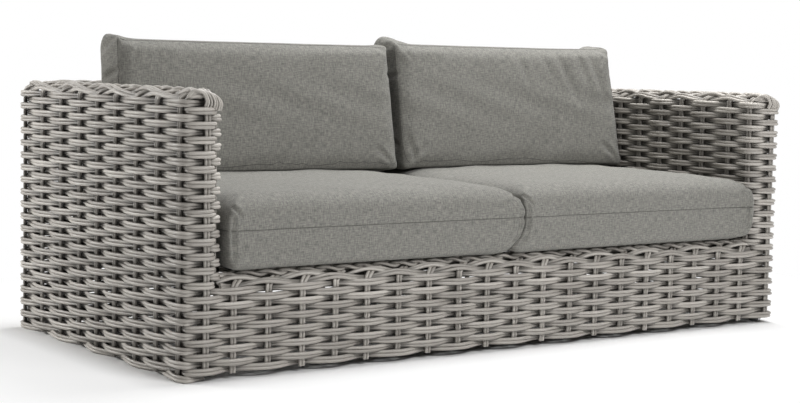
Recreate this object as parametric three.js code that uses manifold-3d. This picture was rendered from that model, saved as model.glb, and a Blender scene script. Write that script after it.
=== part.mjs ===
// Rattan garden sofa with two seats: a woven body on an aluminium tube frame, and four loose cushions.
// Millimetres. +Z is up, the front faces -Y and the length runs along X.
// The origin is on the floor, under the middle of the sofa. Left and right are as seen from the front.
import * as THREE from 'three';
import Module from 'manifold-3d';
import { mergeVertices } from 'three/addons/utils/BufferGeometryUtils.js';

const wasm = await Module();
wasm.setup();

// Overall sizes
const sofaLength = 1960;
const sofaDepth = 955;
const armHeight = 675; // floor to the crown of the plait on the arms and the back
const apronHeight = 246; // floor to the crown of the plait under the seat cushions
const armWidth = 110;
const backWidth = 150;
const floorGap = 16; // floor to the lower edge of the weave

// Woven skin
const weaveThickness = 20; // upright canes with a double cane in front and behind
const cornerRadius = 38;
const plaitHeight = 27;
const plaitEdgeHeight = 9; // height of a plait at its two long edges
const apronPlaitDepth = 56;
const plaitNoseRadius = 24; // how far the front end of an arm plait rounds over
const rowHeight = 16.6; // wanted height of a row, which is rounded so that whole rows fill a panel
const caneDip = 14; // crest of a row over an upright to its lowest place behind the next one
const rowSlope = 1.4; // height over which one row gives way to the next
const longUprightSpacing = 93.5; // uprights of the back and the apron
const armFrontUprightInset = 56; // outer face of an arm to the upright in the middle of its front
const cornerUprightInset = 29; // front or rear face to the upright at the corner

// Frame of square aluminium tube, and the flat bars that carry the seat cushions
const tubeSize = 22;
const tubeWall = 1.8;
const slatWidth = 50;
const slatThickness = 6;
const slatCount = 5;

// Glide feet
const footDiameter = 26;
const footChamfer = 2;
const footStemLength = 24;
const footStemGap = 0.35;

// Cushions
const seatCushionHeight = 196;
const seatSeamShare = 0.5; // height of the seat cushion's seam, as a share of its thickness
const seatCrown = 12;
const backCushionHeight = 390; // along the lean
const backCushionLean = 10; // degrees
const backCushionFrontHalf = 104; // seam to front face, at the edges
const backCushionRearHalf = 100;
const backCushionFrontCrown = 20;
const backCushionRearCrown = 9;
const frontSetback = 2; // seat cushion's front seam behind the face of the apron
const armClearance = 4;
const middleClearance = 6;
const rearClearance = 6;
const coverWall = 8; // fabric with its quilted fibre lining
const coreClearance = 1;

// How far each side of a cushion is drawn in between its corners
const seatDraw = { left: 5, right: 5, high: 10, low: 5 };
const backDraw = { left: 6, right: 6, high: 20, low: 3 };

// Zips
const zipEndMargin = 190; // from each end of the zip to the side of the cushion
const zipWidth = 12;
const zipDepth = 6;
const zipProud = 1;
const backZipHeight = 76; // lower edge of the back cushion to its zip, along the lean
const sliderLength = 9;
const sliderWidth = 10;
const sliderThickness = 4;
const pullLength = 20;
const pullWidth = 5;
const pullThickness = 1.5;

// Clearances
const fit = 0.3; // between pieces that touch
const overrun = 30; // how far a cutting shape reaches past what it cuts

// Uprights of an arm's outer face, as shares of the way from the rear corner upright to the front one
const armUprightShares = [0, 0.147, 0.273, 0.394, 0.519, 0.636, 0.754, 0.869, 1];

// Shapes of curves, without a length
const outlinePower = 14; // higher is a squarer cushion outline
const facePower = 12; // higher keeps a cushion's face flat for longer
const edgePower = 3; // higher makes a squarer cushion edge
const flatEdgePower = 5; // the same for the side that lies on the deck
const skinRingShares = [1, 0.995, 0.98, 0.945, 0.88, 0.75, 0.5, 0.25];
const liningRingShares = [1, 0.985, 0.93, 0.78, 0.4];
const pointsPerSide = 8;
const archSteps = 8;
const cornerSteps = 6;
const roundSteps = 28;
const settleRounds = 4;

// Materials
const canes = { color: 0x8f887e, roughness: 0.62, metalness: 0 };
const paint = { color: 0x77716a, roughness: 0.5, metalness: 0.3 };
const fabric = { color: 0x86847d, roughness: 0.95, metalness: 0 };
const foam = { color: 0xd9d3bd, roughness: 1, metalness: 0 };
const blackPlastic = { color: 0x1b1b1b, roughness: 0.55, metalness: 0 };
const zipTape = { color: 0x5f5d58, roughness: 0.8, metalness: 0 };
const zipMetal = { color: 0x8c8c8a, roughness: 0.35, metalness: 1 };

// Places worked out from the sizes above
const halfLength = sofaLength / 2;
const front = -sofaDepth / 2;
const rear = sofaDepth / 2;
const armInner = halfLength - armWidth; // inner face of an arm, from the middle
const backInner = rear - backWidth; // inner face of the back
const armPanelTop = armHeight - plaitHeight;
const apronPanelTop = apronHeight - plaitHeight;
const deckTop = apronHeight;
const innerWeaveBottom = deckTop + fit; // the inner faces of the arms and the back start at the deck
const rowCount = Math.round((armPanelTop - floorGap) / rowHeight);
const rowPitch = (armPanelTop - floorGap) / rowCount;
const apronRowCount = Math.floor((apronPanelTop - floorGap) / rowPitch);
const sides = [['left', -1], ['right', 1]];

const sofa = new THREE.Group();

function addMesh(parent, name, geometry, look) {
  const mesh = new THREE.Mesh(geometry, new THREE.MeshStandardMaterial(look));
  mesh.name = name;
  parent.add(mesh);
  return mesh;
}

// Solids for cutting and joining

function toSolid(geometry) {
  const bare = geometry.clone();
  bare.deleteAttribute('normal');
  bare.deleteAttribute('uv');
  const merged = mergeVertices(bare, fit / 1000);
  return new wasm.Manifold(new wasm.Mesh({
    numProp: 3,
    vertProperties: new Float32Array(merged.attributes.position.array),
    triVerts: new Uint32Array(merged.index.array),
  }));
}

function toGeometry(solid) {
  const mesh = solid.getMesh();
  const geometry = new THREE.BufferGeometry();
  const places = new Float32Array(mesh.numVert * 3);
  for (let i = 0; i < mesh.numVert; i += 1) {
    for (let axis = 0; axis < 3; axis += 1) {
      places[3 * i + axis] = mesh.vertProperties[mesh.numProp * i + axis];
    }
  }
  geometry.setAttribute('position', new THREE.BufferAttribute(places, 3));
  geometry.setIndex(new THREE.BufferAttribute(new Uint32Array(mesh.triVerts), 1));
  geometry.computeVertexNormals();
  return geometry;
}

// A box between two corners, each given as [x, y, z]
function boxGeometry(low, high) {
  const size = high.map((value, axis) => value - low[axis]);
  const geometry = new THREE.BoxGeometry(...size);
  return geometry.translate(...low.map((value, axis) => value + size[axis] / 2));
}

function boxSolid(low, high) {
  return toSolid(boxGeometry(low, high));
}

// A plan outline of [x, y] points, raised from one height to another
function raised(points, bottom, top) {
  const shape = new THREE.Shape(points.map(([x, y]) => new THREE.Vector2(x, y)));
  const geometry = new THREE.ExtrudeGeometry(shape, { depth: top - bottom, bevelEnabled: false });
  return geometry.translate(0, 0, bottom);
}

// Points of a quarter circle round a centre, from one angle to another in quarter turns
function arcPoints([cx, cy], radius, fromQuarter, toQuarter) {
  const points = [];
  for (let step = 0; step <= cornerSteps; step += 1) {
    const quarter = fromQuarter + ((toQuarter - fromQuarter) * step) / cornerSteps;
    const angle = (quarter * Math.PI) / 2;
    points.push([cx + radius * Math.cos(angle), cy + radius * Math.sin(angle)]);
  }
  return points;
}

// Mirrors an outline to the other side and keeps it running the same way round
function onSide(points, side) {
  return side > 0 ? points : points.map(([x, y]) => [-x, y]).reverse();
}

// Square tube frame

function tubeGeometry(length) {
  const half = tubeSize / 2;
  const inside = half - tubeWall;
  const square = (r) => [[-r, -r], [r, -r], [r, r], [-r, r]].map(([x, y]) => new THREE.Vector2(x, y));
  const shape = new THREE.Shape(square(half));
  shape.holes.push(new THREE.Path(square(inside).reverse()));
  return new THREE.ExtrudeGeometry(shape, { depth: length, bevelEnabled: false });
}

// A tube along one axis between two end points of its centre line, with a fit gap at each end
function addTube(name, start, end) {
  const axis = [0, 1, 2].find((i) => start[i] !== end[i]);
  const geometry = tubeGeometry(end[axis] - start[axis] - 2 * fit);
  if (axis === 0) geometry.rotateY(Math.PI / 2);
  if (axis === 1) geometry.rotateX(-Math.PI / 2);
  const tube = addMesh(sofa, name, geometry, paint);
  tube.position.set(...start.map((value, i) => (i === axis ? value + fit : value)));
}

const halfTube = tubeSize / 2;
const outerPostX = halfLength - weaveThickness - fit - halfTube;
const innerPostX = armInner + weaveThickness + fit + halfTube;
const frontPostY = front + cornerRadius + halfTube;
const rearPostY = rear - cornerRadius - halfTube;
const innerRearPostY = backInner + weaveThickness + fit + halfTube;
const topRailZ = armPanelTop - halfTube;
const baseRailZ = floorGap + halfTube;
const seatRailZ = deckTop - slatThickness - fit - halfTube;
const frontSeatRailY = front + apronPlaitDepth + fit + halfTube;

function addFrame() {
  for (const [word, side] of sides) {
    const outerX = side * outerPostX;
    const innerX = side * innerPostX;
    const postTop = armPanelTop;
    addTube(`post_front_outer_${word}`, [outerX, frontPostY, floorGap], [outerX, frontPostY, postTop]);
    addTube(`post_front_inner_${word}`, [innerX, frontPostY, floorGap], [innerX, frontPostY, postTop]);
    addTube(`post_rear_outer_${word}`, [outerX, rearPostY, floorGap], [outerX, rearPostY, postTop]);
    addTube(`post_rear_inner_${word}`, [innerX, innerRearPostY, floorGap], [innerX, innerRearPostY, postTop]);
    for (const [place, x, endY] of [['outer', outerX, rearPostY], ['inner', innerX, innerRearPostY]]) {
      const from = frontPostY + halfTube;
      const to = endY - halfTube;
      addTube(`rail_arm_top_${place}_${word}`, [x, from, topRailZ], [x, to, topRailZ]);
    }
    const baseFrom = [outerX, frontPostY + halfTube, baseRailZ];
    addTube(`rail_base_side_${word}`, baseFrom, [outerX, rearPostY - halfTube, baseRailZ]);
    const seatFrom = [innerX, frontPostY + halfTube, seatRailZ];
    addTube(`rail_seat_side_${word}`, seatFrom, [innerX, innerRearPostY - halfTube, seatRailZ]);
  }
  const acrossOuter = outerPostX - halfTube;
  const acrossInner = innerPostX - halfTube;
  addTube('rail_base_front', [-acrossInner, frontPostY, baseRailZ], [acrossInner, frontPostY, baseRailZ]);
  addTube('rail_base_rear', [-acrossOuter, rearPostY, baseRailZ], [acrossOuter, rearPostY, baseRailZ]);
  addTube('rail_back_top_rear', [-acrossOuter, rearPostY, topRailZ], [acrossOuter, rearPostY, topRailZ]);
  const innerTop = [acrossInner, innerRearPostY, topRailZ];
  addTube('rail_back_top_front', [-acrossInner, innerRearPostY, topRailZ], innerTop);
  const seatFrontEnd = [acrossInner, frontSeatRailY, seatRailZ];
  addTube('rail_seat_front', [-acrossInner, frontSeatRailY, seatRailZ], seatFrontEnd);
  const seatRearEnd = [acrossInner, innerRearPostY, seatRailZ];
  addTube('rail_seat_rear', [-acrossInner, innerRearPostY, seatRailZ], seatRearEnd);
}

// Flat bars from the front seat rail to the rear one, evenly spaced along the sofa
function addSlats() {
  const spacing = (2 * armInner) / (slatCount + 1);
  for (let i = 0; i < slatCount; i += 1) {
    const centre = -armInner + spacing * (i + 1);
    const low = [centre - slatWidth / 2, frontSeatRailY - halfTube, deckTop - slatThickness];
    const high = [centre + slatWidth / 2, innerRearPostY + halfTube, deckTop];
    addMesh(sofa, `seat_slat_${i + 1}`, boxGeometry(low, high), paint);
  }
}

// Woven panels. The panels seen from outside carry the weave as a relief: a row stands out where it
// crosses one upright and dips behind the next, and the rows above and below do the opposite.

// Joins sections that all have the same number of points, and closes both ends
function loftGeometry(sections) {
  const count = sections[0].length;
  const last = (sections.length - 1) * count;
  const faces = [];
  for (let start = 0; start < last; start += count) {
    for (let i = 0; i < count; i += 1) {
      const j = (i + 1) % count;
      const [a, b, c, d] = [start + i, start + j, start + count + j, start + count + i];
      faces.push(a, b, c, a, c, d);
    }
  }
  const flat = (section) => section.map(([, y, z]) => new THREE.Vector2(y, z));
  for (const [a, b, c] of THREE.ShapeUtils.triangulateShape(flat(sections[0]), [])) faces.push(a, c, b);
  for (const cap of THREE.ShapeUtils.triangulateShape(flat(sections.at(-1)), [])) {
    faces.push(...cap.map((index) => last + index));
  }
  const geometry = new THREE.BufferGeometry();
  geometry.setAttribute('position', new THREE.Float32BufferAttribute(sections.flat(2), 3));
  geometry.setIndex(faces);
  return geometry;
}

// A woven panel along X whose face looks to +Y, with its crests at y = 0 and its lower edge at z = 0.
// Each upright is [place along X, number], and a row stands out where row and number add up to odd.
function wovenPanel(uprights, rows, [from, to], height) {
  const rear = -weaveThickness - overrun;
  const sections = uprights.map(([x, number]) => {
    const face = Array.from({ length: rows }, (_, row) => {
      const y = (row + number) % 2 === 0 ? -caneDip : 0;
      const low = row === 0 ? -overrun : row * rowPitch + rowSlope / 2;
      const high = row === rows - 1 ? height + overrun : (row + 1) * rowPitch - rowSlope / 2;
      return [[x, y, low], [x, y, high]];
    }).flat();
    return [[x, rear, -overrun], ...face, [x, rear, height + overrun]];
  });
  const block = boxSolid([from, -weaveThickness, 0], [to, overrun, height]);
  return toSolid(loftGeometry(sections)).intersect(block);
}

// Evenly spaced uprights on both sides of the middle one
function evenUprights(countEachSide) {
  return Array.from({ length: 2 * countEachSide + 1 }, (_, i) => {
    const place = (i - countEachSide) * longUprightSpacing;
    return [place, i + countEachSide + 1];
  });
}

function addArmWeave() {
  const t = weaveThickness;
  const rearUprightY = rear - cornerUprightInset;
  const armUprights = armUprightShares.map((share, number) => [rearUprightY * (1 - 2 * share), number]);
  const outerCentre = [halfLength - cornerRadius, front + cornerRadius];
  const innerCentre = [armInner + cornerRadius, front + cornerRadius];
  const outerBend = [
    ...arcPoints(outerCentre, cornerRadius, 4, 3),
    [innerCentre[0], front],
    [innerCentre[0], front + t],
    ...arcPoints(outerCentre, cornerRadius - t, 3, 4),
  ];
  const innerBend = [
    [outerCentre[0], front],
    ...arcPoints(innerCentre, cornerRadius, 3, 2),
    ...arcPoints(innerCentre, cornerRadius - t, 2, 3),
    [outerCentre[0], front + t],
  ];
  for (const [word, side] of sides) {
    const full = toSolid(raised(onSide(outerBend, side), floorGap, armPanelTop));
    const upper = toSolid(raised(onSide(innerBend, side), apronPanelTop + fit, armPanelTop));
    addMesh(sofa, `weave_arm_front_${word}`, toGeometry(full.add(upper)), canes);

    const end = rear - cornerRadius - fit;
    const along = armUprights.map(([y, number]) => [-side * y, number]).sort((a, b) => a[0] - b[0]);
    const outer = wovenPanel(along, rowCount, [-end, end], armPanelTop - floorGap);
    const turned = toGeometry(outer).rotateZ((-side * Math.PI) / 2);
    addMesh(sofa, `weave_arm_outer_${word}`, turned, canes).position.set(side * halfLength, 0, floorGap);

    const innerFaces = [side * armInner, side * (armInner + t)].sort((a, b) => a - b);
    const innerLow = [innerFaces[0], front + cornerRadius + fit, innerWeaveBottom];
    const innerHigh = [innerFaces[1], backInner + t, armPanelTop];
    addMesh(sofa, `weave_arm_inner_${word}`, boxGeometry(innerLow, innerHigh), canes);
  }
}

function addBackWeave() {
  const t = weaveThickness;
  const centreX = halfLength - cornerRadius;
  const centreY = rear - cornerRadius;
  const bend = [
    ...arcPoints([centreX, centreY], cornerRadius, 0, 1),
    ...arcPoints([centreX, centreY], cornerRadius - t, 1, 0),
  ];
  const uprights = evenUprights(Math.floor(centreX / longUprightSpacing));
  const [endPlace, endNumber] = uprights.at(-1);
  const beyond = endPlace + longUprightSpacing;
  const along = [[-beyond, endNumber], ...uprights, [beyond, endNumber]];
  const straight = wovenPanel(along, rowCount, [-centreX, centreX], armPanelTop - floorGap);
  const outer = sides.reduce(
    (all, [, side]) => all.add(toSolid(raised(onSide(bend, side), floorGap, armPanelTop))),
    straight.translate([0, rear, floorGap]),
  );
  addMesh(sofa, 'weave_back_outer', toGeometry(outer), canes);

  const low = [-armInner + fit, backInner, innerWeaveBottom];
  const high = [armInner - fit, backInner + t, armPanelTop];
  addMesh(sofa, 'weave_back_inner', boxGeometry(low, high), canes);
}

function addApronWeave() {
  const end = armInner + cornerRadius - fit;
  const uprights = evenUprights(Math.floor(armInner / longUprightSpacing));
  const armFrontUprightX = halfLength - armFrontUprightInset;
  const endNumber = uprights.at(-1)[1] + 1;
  const along = [[-armFrontUprightX, endNumber], ...uprights, [armFrontUprightX, endNumber]];
  const panel = wovenPanel(along, apronRowCount, [-end, end], apronPanelTop - floorGap);
  const turned = toGeometry(panel).rotateZ(Math.PI);
  addMesh(sofa, 'weave_apron', turned, canes).position.set(0, front, floorGap);
}

// Plaits that finish the top edges

// Section of a plait: flat below, arched above, as [across, up] points from one edge to the other
function plaitSection(width) {
  const points = [[0, 0], [width, 0]];
  for (let step = 0; step <= archSteps; step += 1) {
    const angle = (Math.PI * step) / archSteps;
    const across = (width / 2) * (1 + Math.cos(angle));
    points.push([across, plaitEdgeHeight + (plaitHeight - fit - plaitEdgeHeight) * Math.sin(angle)]);
  }
  return points;
}

// A plait along X, with its front edge at y = 0 and its underside at z = 0
function plaitAlongX(width, length) {
  const geometry = raised(plaitSection(width), 0, length);
  return geometry.rotateX(Math.PI / 2).rotateZ(Math.PI / 2).translate(-length / 2, 0, 0);
}

// A plait along Y, from y = 0 backwards, centred on x = 0
function plaitAlongY(width, length) {
  const geometry = raised(plaitSection(width), 0, length);
  return geometry.rotateX(Math.PI / 2).translate(-width / 2, length, 0);
}

function addPlaits() {
  const armLength = backInner - fit - front;
  const plan = (corner) => [
    ...arcPoints([armWidth / 2 - corner, corner], corner, 4, 3),
    ...arcPoints([-armWidth / 2 + corner, corner], corner, 3, 2),
    [-armWidth / 2, armLength],
    [armWidth / 2, armLength],
  ];
  // Side view of the front end, which rounds over towards the face of the arm
  const nose = [
    [0, 0],
    ...arcPoints([plaitNoseRadius, plaitHeight - plaitNoseRadius], plaitNoseRadius, 2, 1),
    [armLength, plaitHeight],
    [armLength, 0],
  ].reverse();
  const noseSolid = toSolid(raised(nose, 0, armWidth).rotateX(Math.PI / 2).rotateZ(Math.PI / 2)
    .translate(-armWidth / 2, 0, 0));
  for (const [word, side] of sides) {
    const rounded = toSolid(plaitAlongY(armWidth, armLength))
      .intersect(toSolid(raised(plan(cornerRadius), 0, plaitHeight)))
      .intersect(noseSolid);
    const plait = addMesh(sofa, `plait_arm_${word}`, toGeometry(rounded), canes);
    plait.position.set(side * (halfLength - armWidth / 2), front, armPanelTop + fit);
  }

  const backPlan = [
    [halfLength, backInner],
    ...arcPoints([halfLength - cornerRadius, rear - cornerRadius], cornerRadius, 0, 1),
    ...arcPoints([-halfLength + cornerRadius, rear - cornerRadius], cornerRadius, 1, 2),
    [-halfLength, backInner],
  ].map(([x, y]) => [x, y - backInner]);
  const backPlait = toSolid(plaitAlongX(backWidth, sofaLength))
    .intersect(toSolid(raised(backPlan, 0, plaitHeight)));
  addMesh(sofa, 'plait_back', toGeometry(backPlait), canes)
    .position.set(0, backInner, armPanelTop + fit);

  const apronLength = 2 * (armInner - fit);
  addMesh(sofa, 'plait_apron', plaitAlongX(apronPlaitDepth, apronLength), canes)
    .position.set(0, front, apronPanelTop + fit);
}

// Glide feet: a round foot with a square stem that plugs into a post

function footGeometry() {
  const radius = footDiameter / 2;
  const top = floorGap - fit;
  const profile = [
    [0, 0],
    [radius - footChamfer, 0],
    [radius, footChamfer],
    [radius, top - footChamfer],
    [radius - footChamfer, top],
    [0, top],
  ].map(([r, z]) => new THREE.Vector2(r, z));
  const disc = new THREE.LatheGeometry(profile, roundSteps).rotateX(Math.PI / 2);
  const half = halfTube - tubeWall - footStemGap;
  const stem = boxSolid([-half, -half, top / 2], [half, half, top + footStemLength]);
  return toGeometry(toSolid(disc).add(stem));
}

function addFeet() {
  for (const [word, side] of sides) {
    for (const [place, y] of [['front', frontPostY], ['rear', rearPostY]]) {
      addMesh(sofa, `foot_${place}_${word}`, footGeometry(), blackPlastic)
        .position.set(side * outerPostX, y, 0);
    }
  }
}

// Cushions. Local axes: X along the width, Y from the low side to the high side, Z out of the face.

// The outline of a cushion as points in shares of its half sizes, round from one corner
function outlineShares() {
  const corners = [[-1, -1], [1, -1], [1, 1], [-1, 1]];
  return corners.flatMap(([x0, y0], i) => {
    const [x1, y1] = corners[(i + 1) % corners.length];
    return Array.from({ length: pointsPerSide }, (_, step) => {
      const t = (1 - Math.cos((Math.PI * step) / pointsPerSide)) / 2; // closer together at the corners
      const square = [x0 + (x1 - x0) * t, y0 + (y1 - y0) * t];
      const reach = Math.hypot(...square.map((share) => Math.abs(share) ** (outlinePower / 2)));
      return square.map((share) => share / reach ** (2 / outlinePower));
    });
  });
}

// Height of a face over the seam for a place in shares of the half sizes
function faceHeight([x, y], half, crown, power) {
  const reach = Math.abs(x) ** outlinePower + Math.abs(y) ** outlinePower;
  const ring = Math.min(1, reach ** (1 / outlinePower));
  const edge = (1 - ring ** facePower) ** (1 / power);
  return half * edge + crown * (1 - x * x) * (1 - y * y) * (1 - ring ** (2 + facePower));
}

// A place in shares becomes a place in millimetres, with the sides drawn in between the corners
function drawnPlace([x, y], form) {
  const { halfWidth, halfHeight, draw, inset } = form;
  const sideDraw = x < 0 ? draw.left : draw.right;
  const endDraw = y < 0 ? draw.low : draw.high;
  return [
    x * (halfWidth - inset - sideDraw * (1 - y * y)),
    y * (halfHeight - inset - endDraw * (1 - x * x)),
  ];
}

function cushionSurface(form, ringShares) {
  const outline = outlineShares();
  const count = outline.length;
  const places = [];
  const faces = [];
  const pushPlace = (shares, height) => {
    places.push(...drawnPlace(shares, form), height);
    return places.length / 3 - 1;
  };
  const rim = outline.map((shares) => pushPlace(shares, 0));
  const sidesOfCushion = [
    [1, form.faceHalf - form.inset, form.faceCrown, form.facePower],
    [-1, form.underHalf - form.inset, form.underCrown, form.underPower],
  ];
  for (const [direction, half, crown, power] of sidesOfCushion) {
    let outerRing = rim;
    for (const ring of ringShares.slice(1)) {
      const innerRing = outline.map(([x, y]) => {
        const shares = [x * ring, y * ring];
        return pushPlace(shares, direction * faceHeight(shares, half, crown, power));
      });
      for (let i = 0; i < count; i += 1) {
        const j = (i + 1) % count;
        const quad = [outerRing[i], outerRing[j], innerRing[j], innerRing[i]];
        if (direction < 0) quad.reverse();
        faces.push(quad[0], quad[1], quad[2], quad[0], quad[2], quad[3]);
      }
      outerRing = innerRing;
    }
    const middle = pushPlace([0, 0], direction * faceHeight([0, 0], half, crown, power));
    for (let i = 0; i < count; i += 1) {
      const pair = [outerRing[i], outerRing[(i + 1) % count]];
      if (direction < 0) pair.reverse();
      faces.push(...pair, middle);
    }
  }
  const geometry = new THREE.BufferGeometry();
  geometry.setAttribute('position', new THREE.Float32BufferAttribute(places, 3));
  geometry.setIndex(faces);
  geometry.computeVertexNormals();
  return geometry;
}

const cushionWidth = (2 * armInner - 2 * armClearance - middleClearance) / 2;
const cushionX = middleClearance / 2 + cushionWidth / 2;
const zipLength = cushionWidth - 2 * zipEndMargin;

// Zip parts are drawn with X along the zip, Y out of the cushion and Z up, with y = 0 at the zip's face
function zipSlotGeometry() {
  const half = zipWidth / 2;
  const inward = coverWall + coreClearance + zipDepth;
  return boxGeometry([-zipLength / 2, -inward, -half], [zipLength / 2, overrun, half]);
}

function zipGeometry() {
  const half = zipWidth / 2 - fit;
  return boxGeometry([-zipLength / 2 + fit, -zipDepth, -half], [zipLength / 2 - fit, 0, half]);
}

function sliderGeometry() {
  const body = boxSolid(
    [0, fit, -sliderWidth / 2],
    [sliderLength, fit + sliderThickness, sliderWidth / 2],
  );
  const pullX = (sliderLength - pullWidth) / 2;
  const pull = boxSolid(
    [pullX, fit + sliderThickness - pullThickness, -sliderWidth / 2 - pullLength],
    [pullX + pullWidth, fit + sliderThickness, 0],
  );
  return toGeometry(body.add(pull));
}

function addCushion(parent, kind, word, form) {
  const lining = { ...form, inset: form.inset + coverWall };
  const fill = { ...form, inset: form.inset + coverWall + coreClearance };
  const slot = zipSlotGeometry().rotateX(form.zipTurn).translate(...form.zipPlace);
  const cover = toSolid(cushionSurface(form, skinRingShares))
    .subtract(toSolid(cushionSurface(lining, liningRingShares)))
    .subtract(toSolid(slot));
  addMesh(parent, `${kind}_cushion_cover_${word}`, toGeometry(cover), fabric);
  addMesh(parent, `${kind}_cushion_core_${word}`, cushionSurface(fill, liningRingShares), foam);

  const zip = new THREE.Group();
  zip.position.set(...form.zipPlace);
  zip.rotation.x = form.zipTurn;
  addMesh(zip, `${kind}_cushion_zip_${word}`, zipGeometry(), zipTape);
  const slider = addMesh(zip, `${kind}_zip_slider_${word}`, sliderGeometry(), zipMetal);
  slider.position.x = -zipLength / 2 + fit;
  parent.add(zip);
}

const seatCushionFront = front + frontSetback;
const seatCushionRear = backInner - rearClearance;
const seatCushionTop = deckTop + fit + seatCushionHeight;

const seatMiddleY = (seatCushionFront + seatCushionRear) / 2;
const seatSeamHeight = seatCushionHeight * seatSeamShare;
const seatSeamZ = deckTop + fit + seatSeamHeight;
const seatHalfDepth = (seatCushionRear - seatCushionFront) / 2;
const seatForm = {
  halfWidth: cushionWidth / 2,
  halfHeight: seatHalfDepth,
  faceHalf: seatCushionHeight - seatSeamHeight - seatCrown,
  faceCrown: seatCrown,
  facePower: edgePower,
  underHalf: seatSeamHeight,
  underCrown: 0,
  underPower: flatEdgePower,
  draw: seatDraw,
  inset: 0,
  zipTurn: 0,
  zipPlace: [0, seatHalfDepth - seatDraw.high + zipProud, 0],
};

function addSeatCushions() {
  for (const [word, side] of sides) {
    const cushion = new THREE.Group();
    cushion.position.set(side * cushionX, seatMiddleY, seatSeamZ);
    addCushion(cushion, 'seat', word, seatForm);
    sofa.add(cushion);
  }
}

// Top of a seat cushion under a place, measured from the middle of the cushion
function seatTopAt(x, y) {
  const shares = [x / seatForm.halfWidth, y / seatForm.halfHeight];
  return seatSeamZ + faceHeight(shares, seatForm.faceHalf, seatForm.faceCrown, seatForm.facePower);
}

// Where a back cushion's middle comes to lie when it rests on the seat cushion and against the back
function settledPlace(form, lean) {
  const surface = cushionSurface(form, skinRingShares).rotateX(Math.PI / 2 - lean);
  const places = surface.attributes.position;
  const each = Array.from({ length: places.count }, (_, i) => [places.getX(i), places.getY(i), places.getZ(i)]);
  let y = 0;
  let z = seatCushionTop + form.halfHeight;
  for (let round = 0; round < settleRounds; round += 1) {
    const besideBack = each.filter((place) => place[2] + z < armHeight).map((place) => place[1]);
    y = backInner - fit - Math.max(...besideBack);
    const heights = each.map((place) => place[2] + z - seatTopAt(place[0], place[1] + y - seatMiddleY));
    z -= Math.min(...heights) - fit;
  }
  return [y, z];
}

function addBackCushions() {
  const lean = THREE.MathUtils.degToRad(backCushionLean);
  const halfHeight = backCushionHeight / 2;
  const zipY = -halfHeight + backZipHeight;
  const rearAtZip = faceHeight([0, zipY / halfHeight], backCushionRearHalf, backCushionRearCrown, edgePower);
  const form = {
    halfWidth: cushionWidth / 2,
    halfHeight,
    faceHalf: backCushionFrontHalf,
    faceCrown: backCushionFrontCrown,
    facePower: edgePower,
    underHalf: backCushionRearHalf,
    underCrown: backCushionRearCrown,
    underPower: edgePower,
    draw: backDraw,
    inset: 0,
    zipTurn: -Math.PI / 2,
    zipPlace: [0, zipY, -rearAtZip - zipProud],
  };
  const [middleY, middleZ] = settledPlace(form, lean);
  for (const [word, side] of sides) {
    const cushion = new THREE.Group();
    cushion.position.set(side * cushionX, middleY, middleZ);
    cushion.rotation.x = Math.PI / 2 - lean;
    addCushion(cushion, 'back', word, form);
    sofa.add(cushion);
  }
}

addFrame();
addSlats();
addArmWeave();
addBackWeave();
addApronWeave();
addPlaits();
addFeet();
addSeatCushions();
addBackCushions();

export default sofa;
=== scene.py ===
# %% [markdown]
# # A rattan garden sofa
# The sofa is a woven body on a hidden tube frame, with two seat cushions and two back cushions.
# This lesson dresses the solid model of that sofa. It makes every cane of the weave, the plaits
# on its edges, the cushions with their seams and zips, and then the light that shows them.

# %% [markdown]
# ## The frame
# The solid model already says where each piece is, in metres, so nothing here has to be fitted by
# eye. It is loaded first.

# %% Load the frame
import math

import bpy
import numpy as np
from mathutils import Matrix, Vector
from mathutils.bvhtree import BVHTree


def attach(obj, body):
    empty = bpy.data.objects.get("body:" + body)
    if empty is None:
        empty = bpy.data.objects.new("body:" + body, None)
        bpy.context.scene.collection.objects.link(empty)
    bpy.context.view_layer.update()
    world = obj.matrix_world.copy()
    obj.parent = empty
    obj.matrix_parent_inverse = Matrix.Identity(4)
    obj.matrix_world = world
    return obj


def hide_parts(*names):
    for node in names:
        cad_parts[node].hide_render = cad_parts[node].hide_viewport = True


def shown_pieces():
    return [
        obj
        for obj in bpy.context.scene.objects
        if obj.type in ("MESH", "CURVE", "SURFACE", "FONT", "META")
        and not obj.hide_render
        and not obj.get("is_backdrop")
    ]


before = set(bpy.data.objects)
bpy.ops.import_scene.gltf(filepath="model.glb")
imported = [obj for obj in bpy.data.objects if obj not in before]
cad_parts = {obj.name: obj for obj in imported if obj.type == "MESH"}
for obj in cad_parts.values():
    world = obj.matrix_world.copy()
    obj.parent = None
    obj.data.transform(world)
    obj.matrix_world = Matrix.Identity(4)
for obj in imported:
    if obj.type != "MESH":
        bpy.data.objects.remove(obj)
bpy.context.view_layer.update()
left_and_right = (("left", -1), ("right", 1))

# %% [markdown]
# ## The camera
# The sofa is seen from the left of its front, from about eye height of a seated person. The place,
# the angles and the lens were worked out from the straight edges of the arms and the apron. A camera
# can be turned with angles or with a matrix of its three axes. The matrix is used here, because
# it is built directly from the direction of view and keeps the slight roll of the picture.

# %% Camera
camera_place = Vector((-2.714, -3.750, 0.732))
camera_yaw, camera_pitch, camera_roll = (math.radians(a) for a in (35.44, 4.71, 1.15))
sensor_width = 36.0
focal_share = 1639 / 800  # focal length as a share of the picture's width

forward = Vector((math.sin(camera_yaw) * math.cos(camera_pitch),
                  math.cos(camera_yaw) * math.cos(camera_pitch), -math.sin(camera_pitch)))
level_right = forward.cross(Vector((0, 0, 1))).normalized()
level_up = level_right.cross(forward)
right = math.cos(camera_roll) * level_right + math.sin(camera_roll) * level_up
up = math.cos(camera_roll) * level_up - math.sin(camera_roll) * level_right


def add_object(name, data):
    made = bpy.data.objects.new(name, data)
    bpy.context.scene.collection.objects.link(made)
    return made


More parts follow.
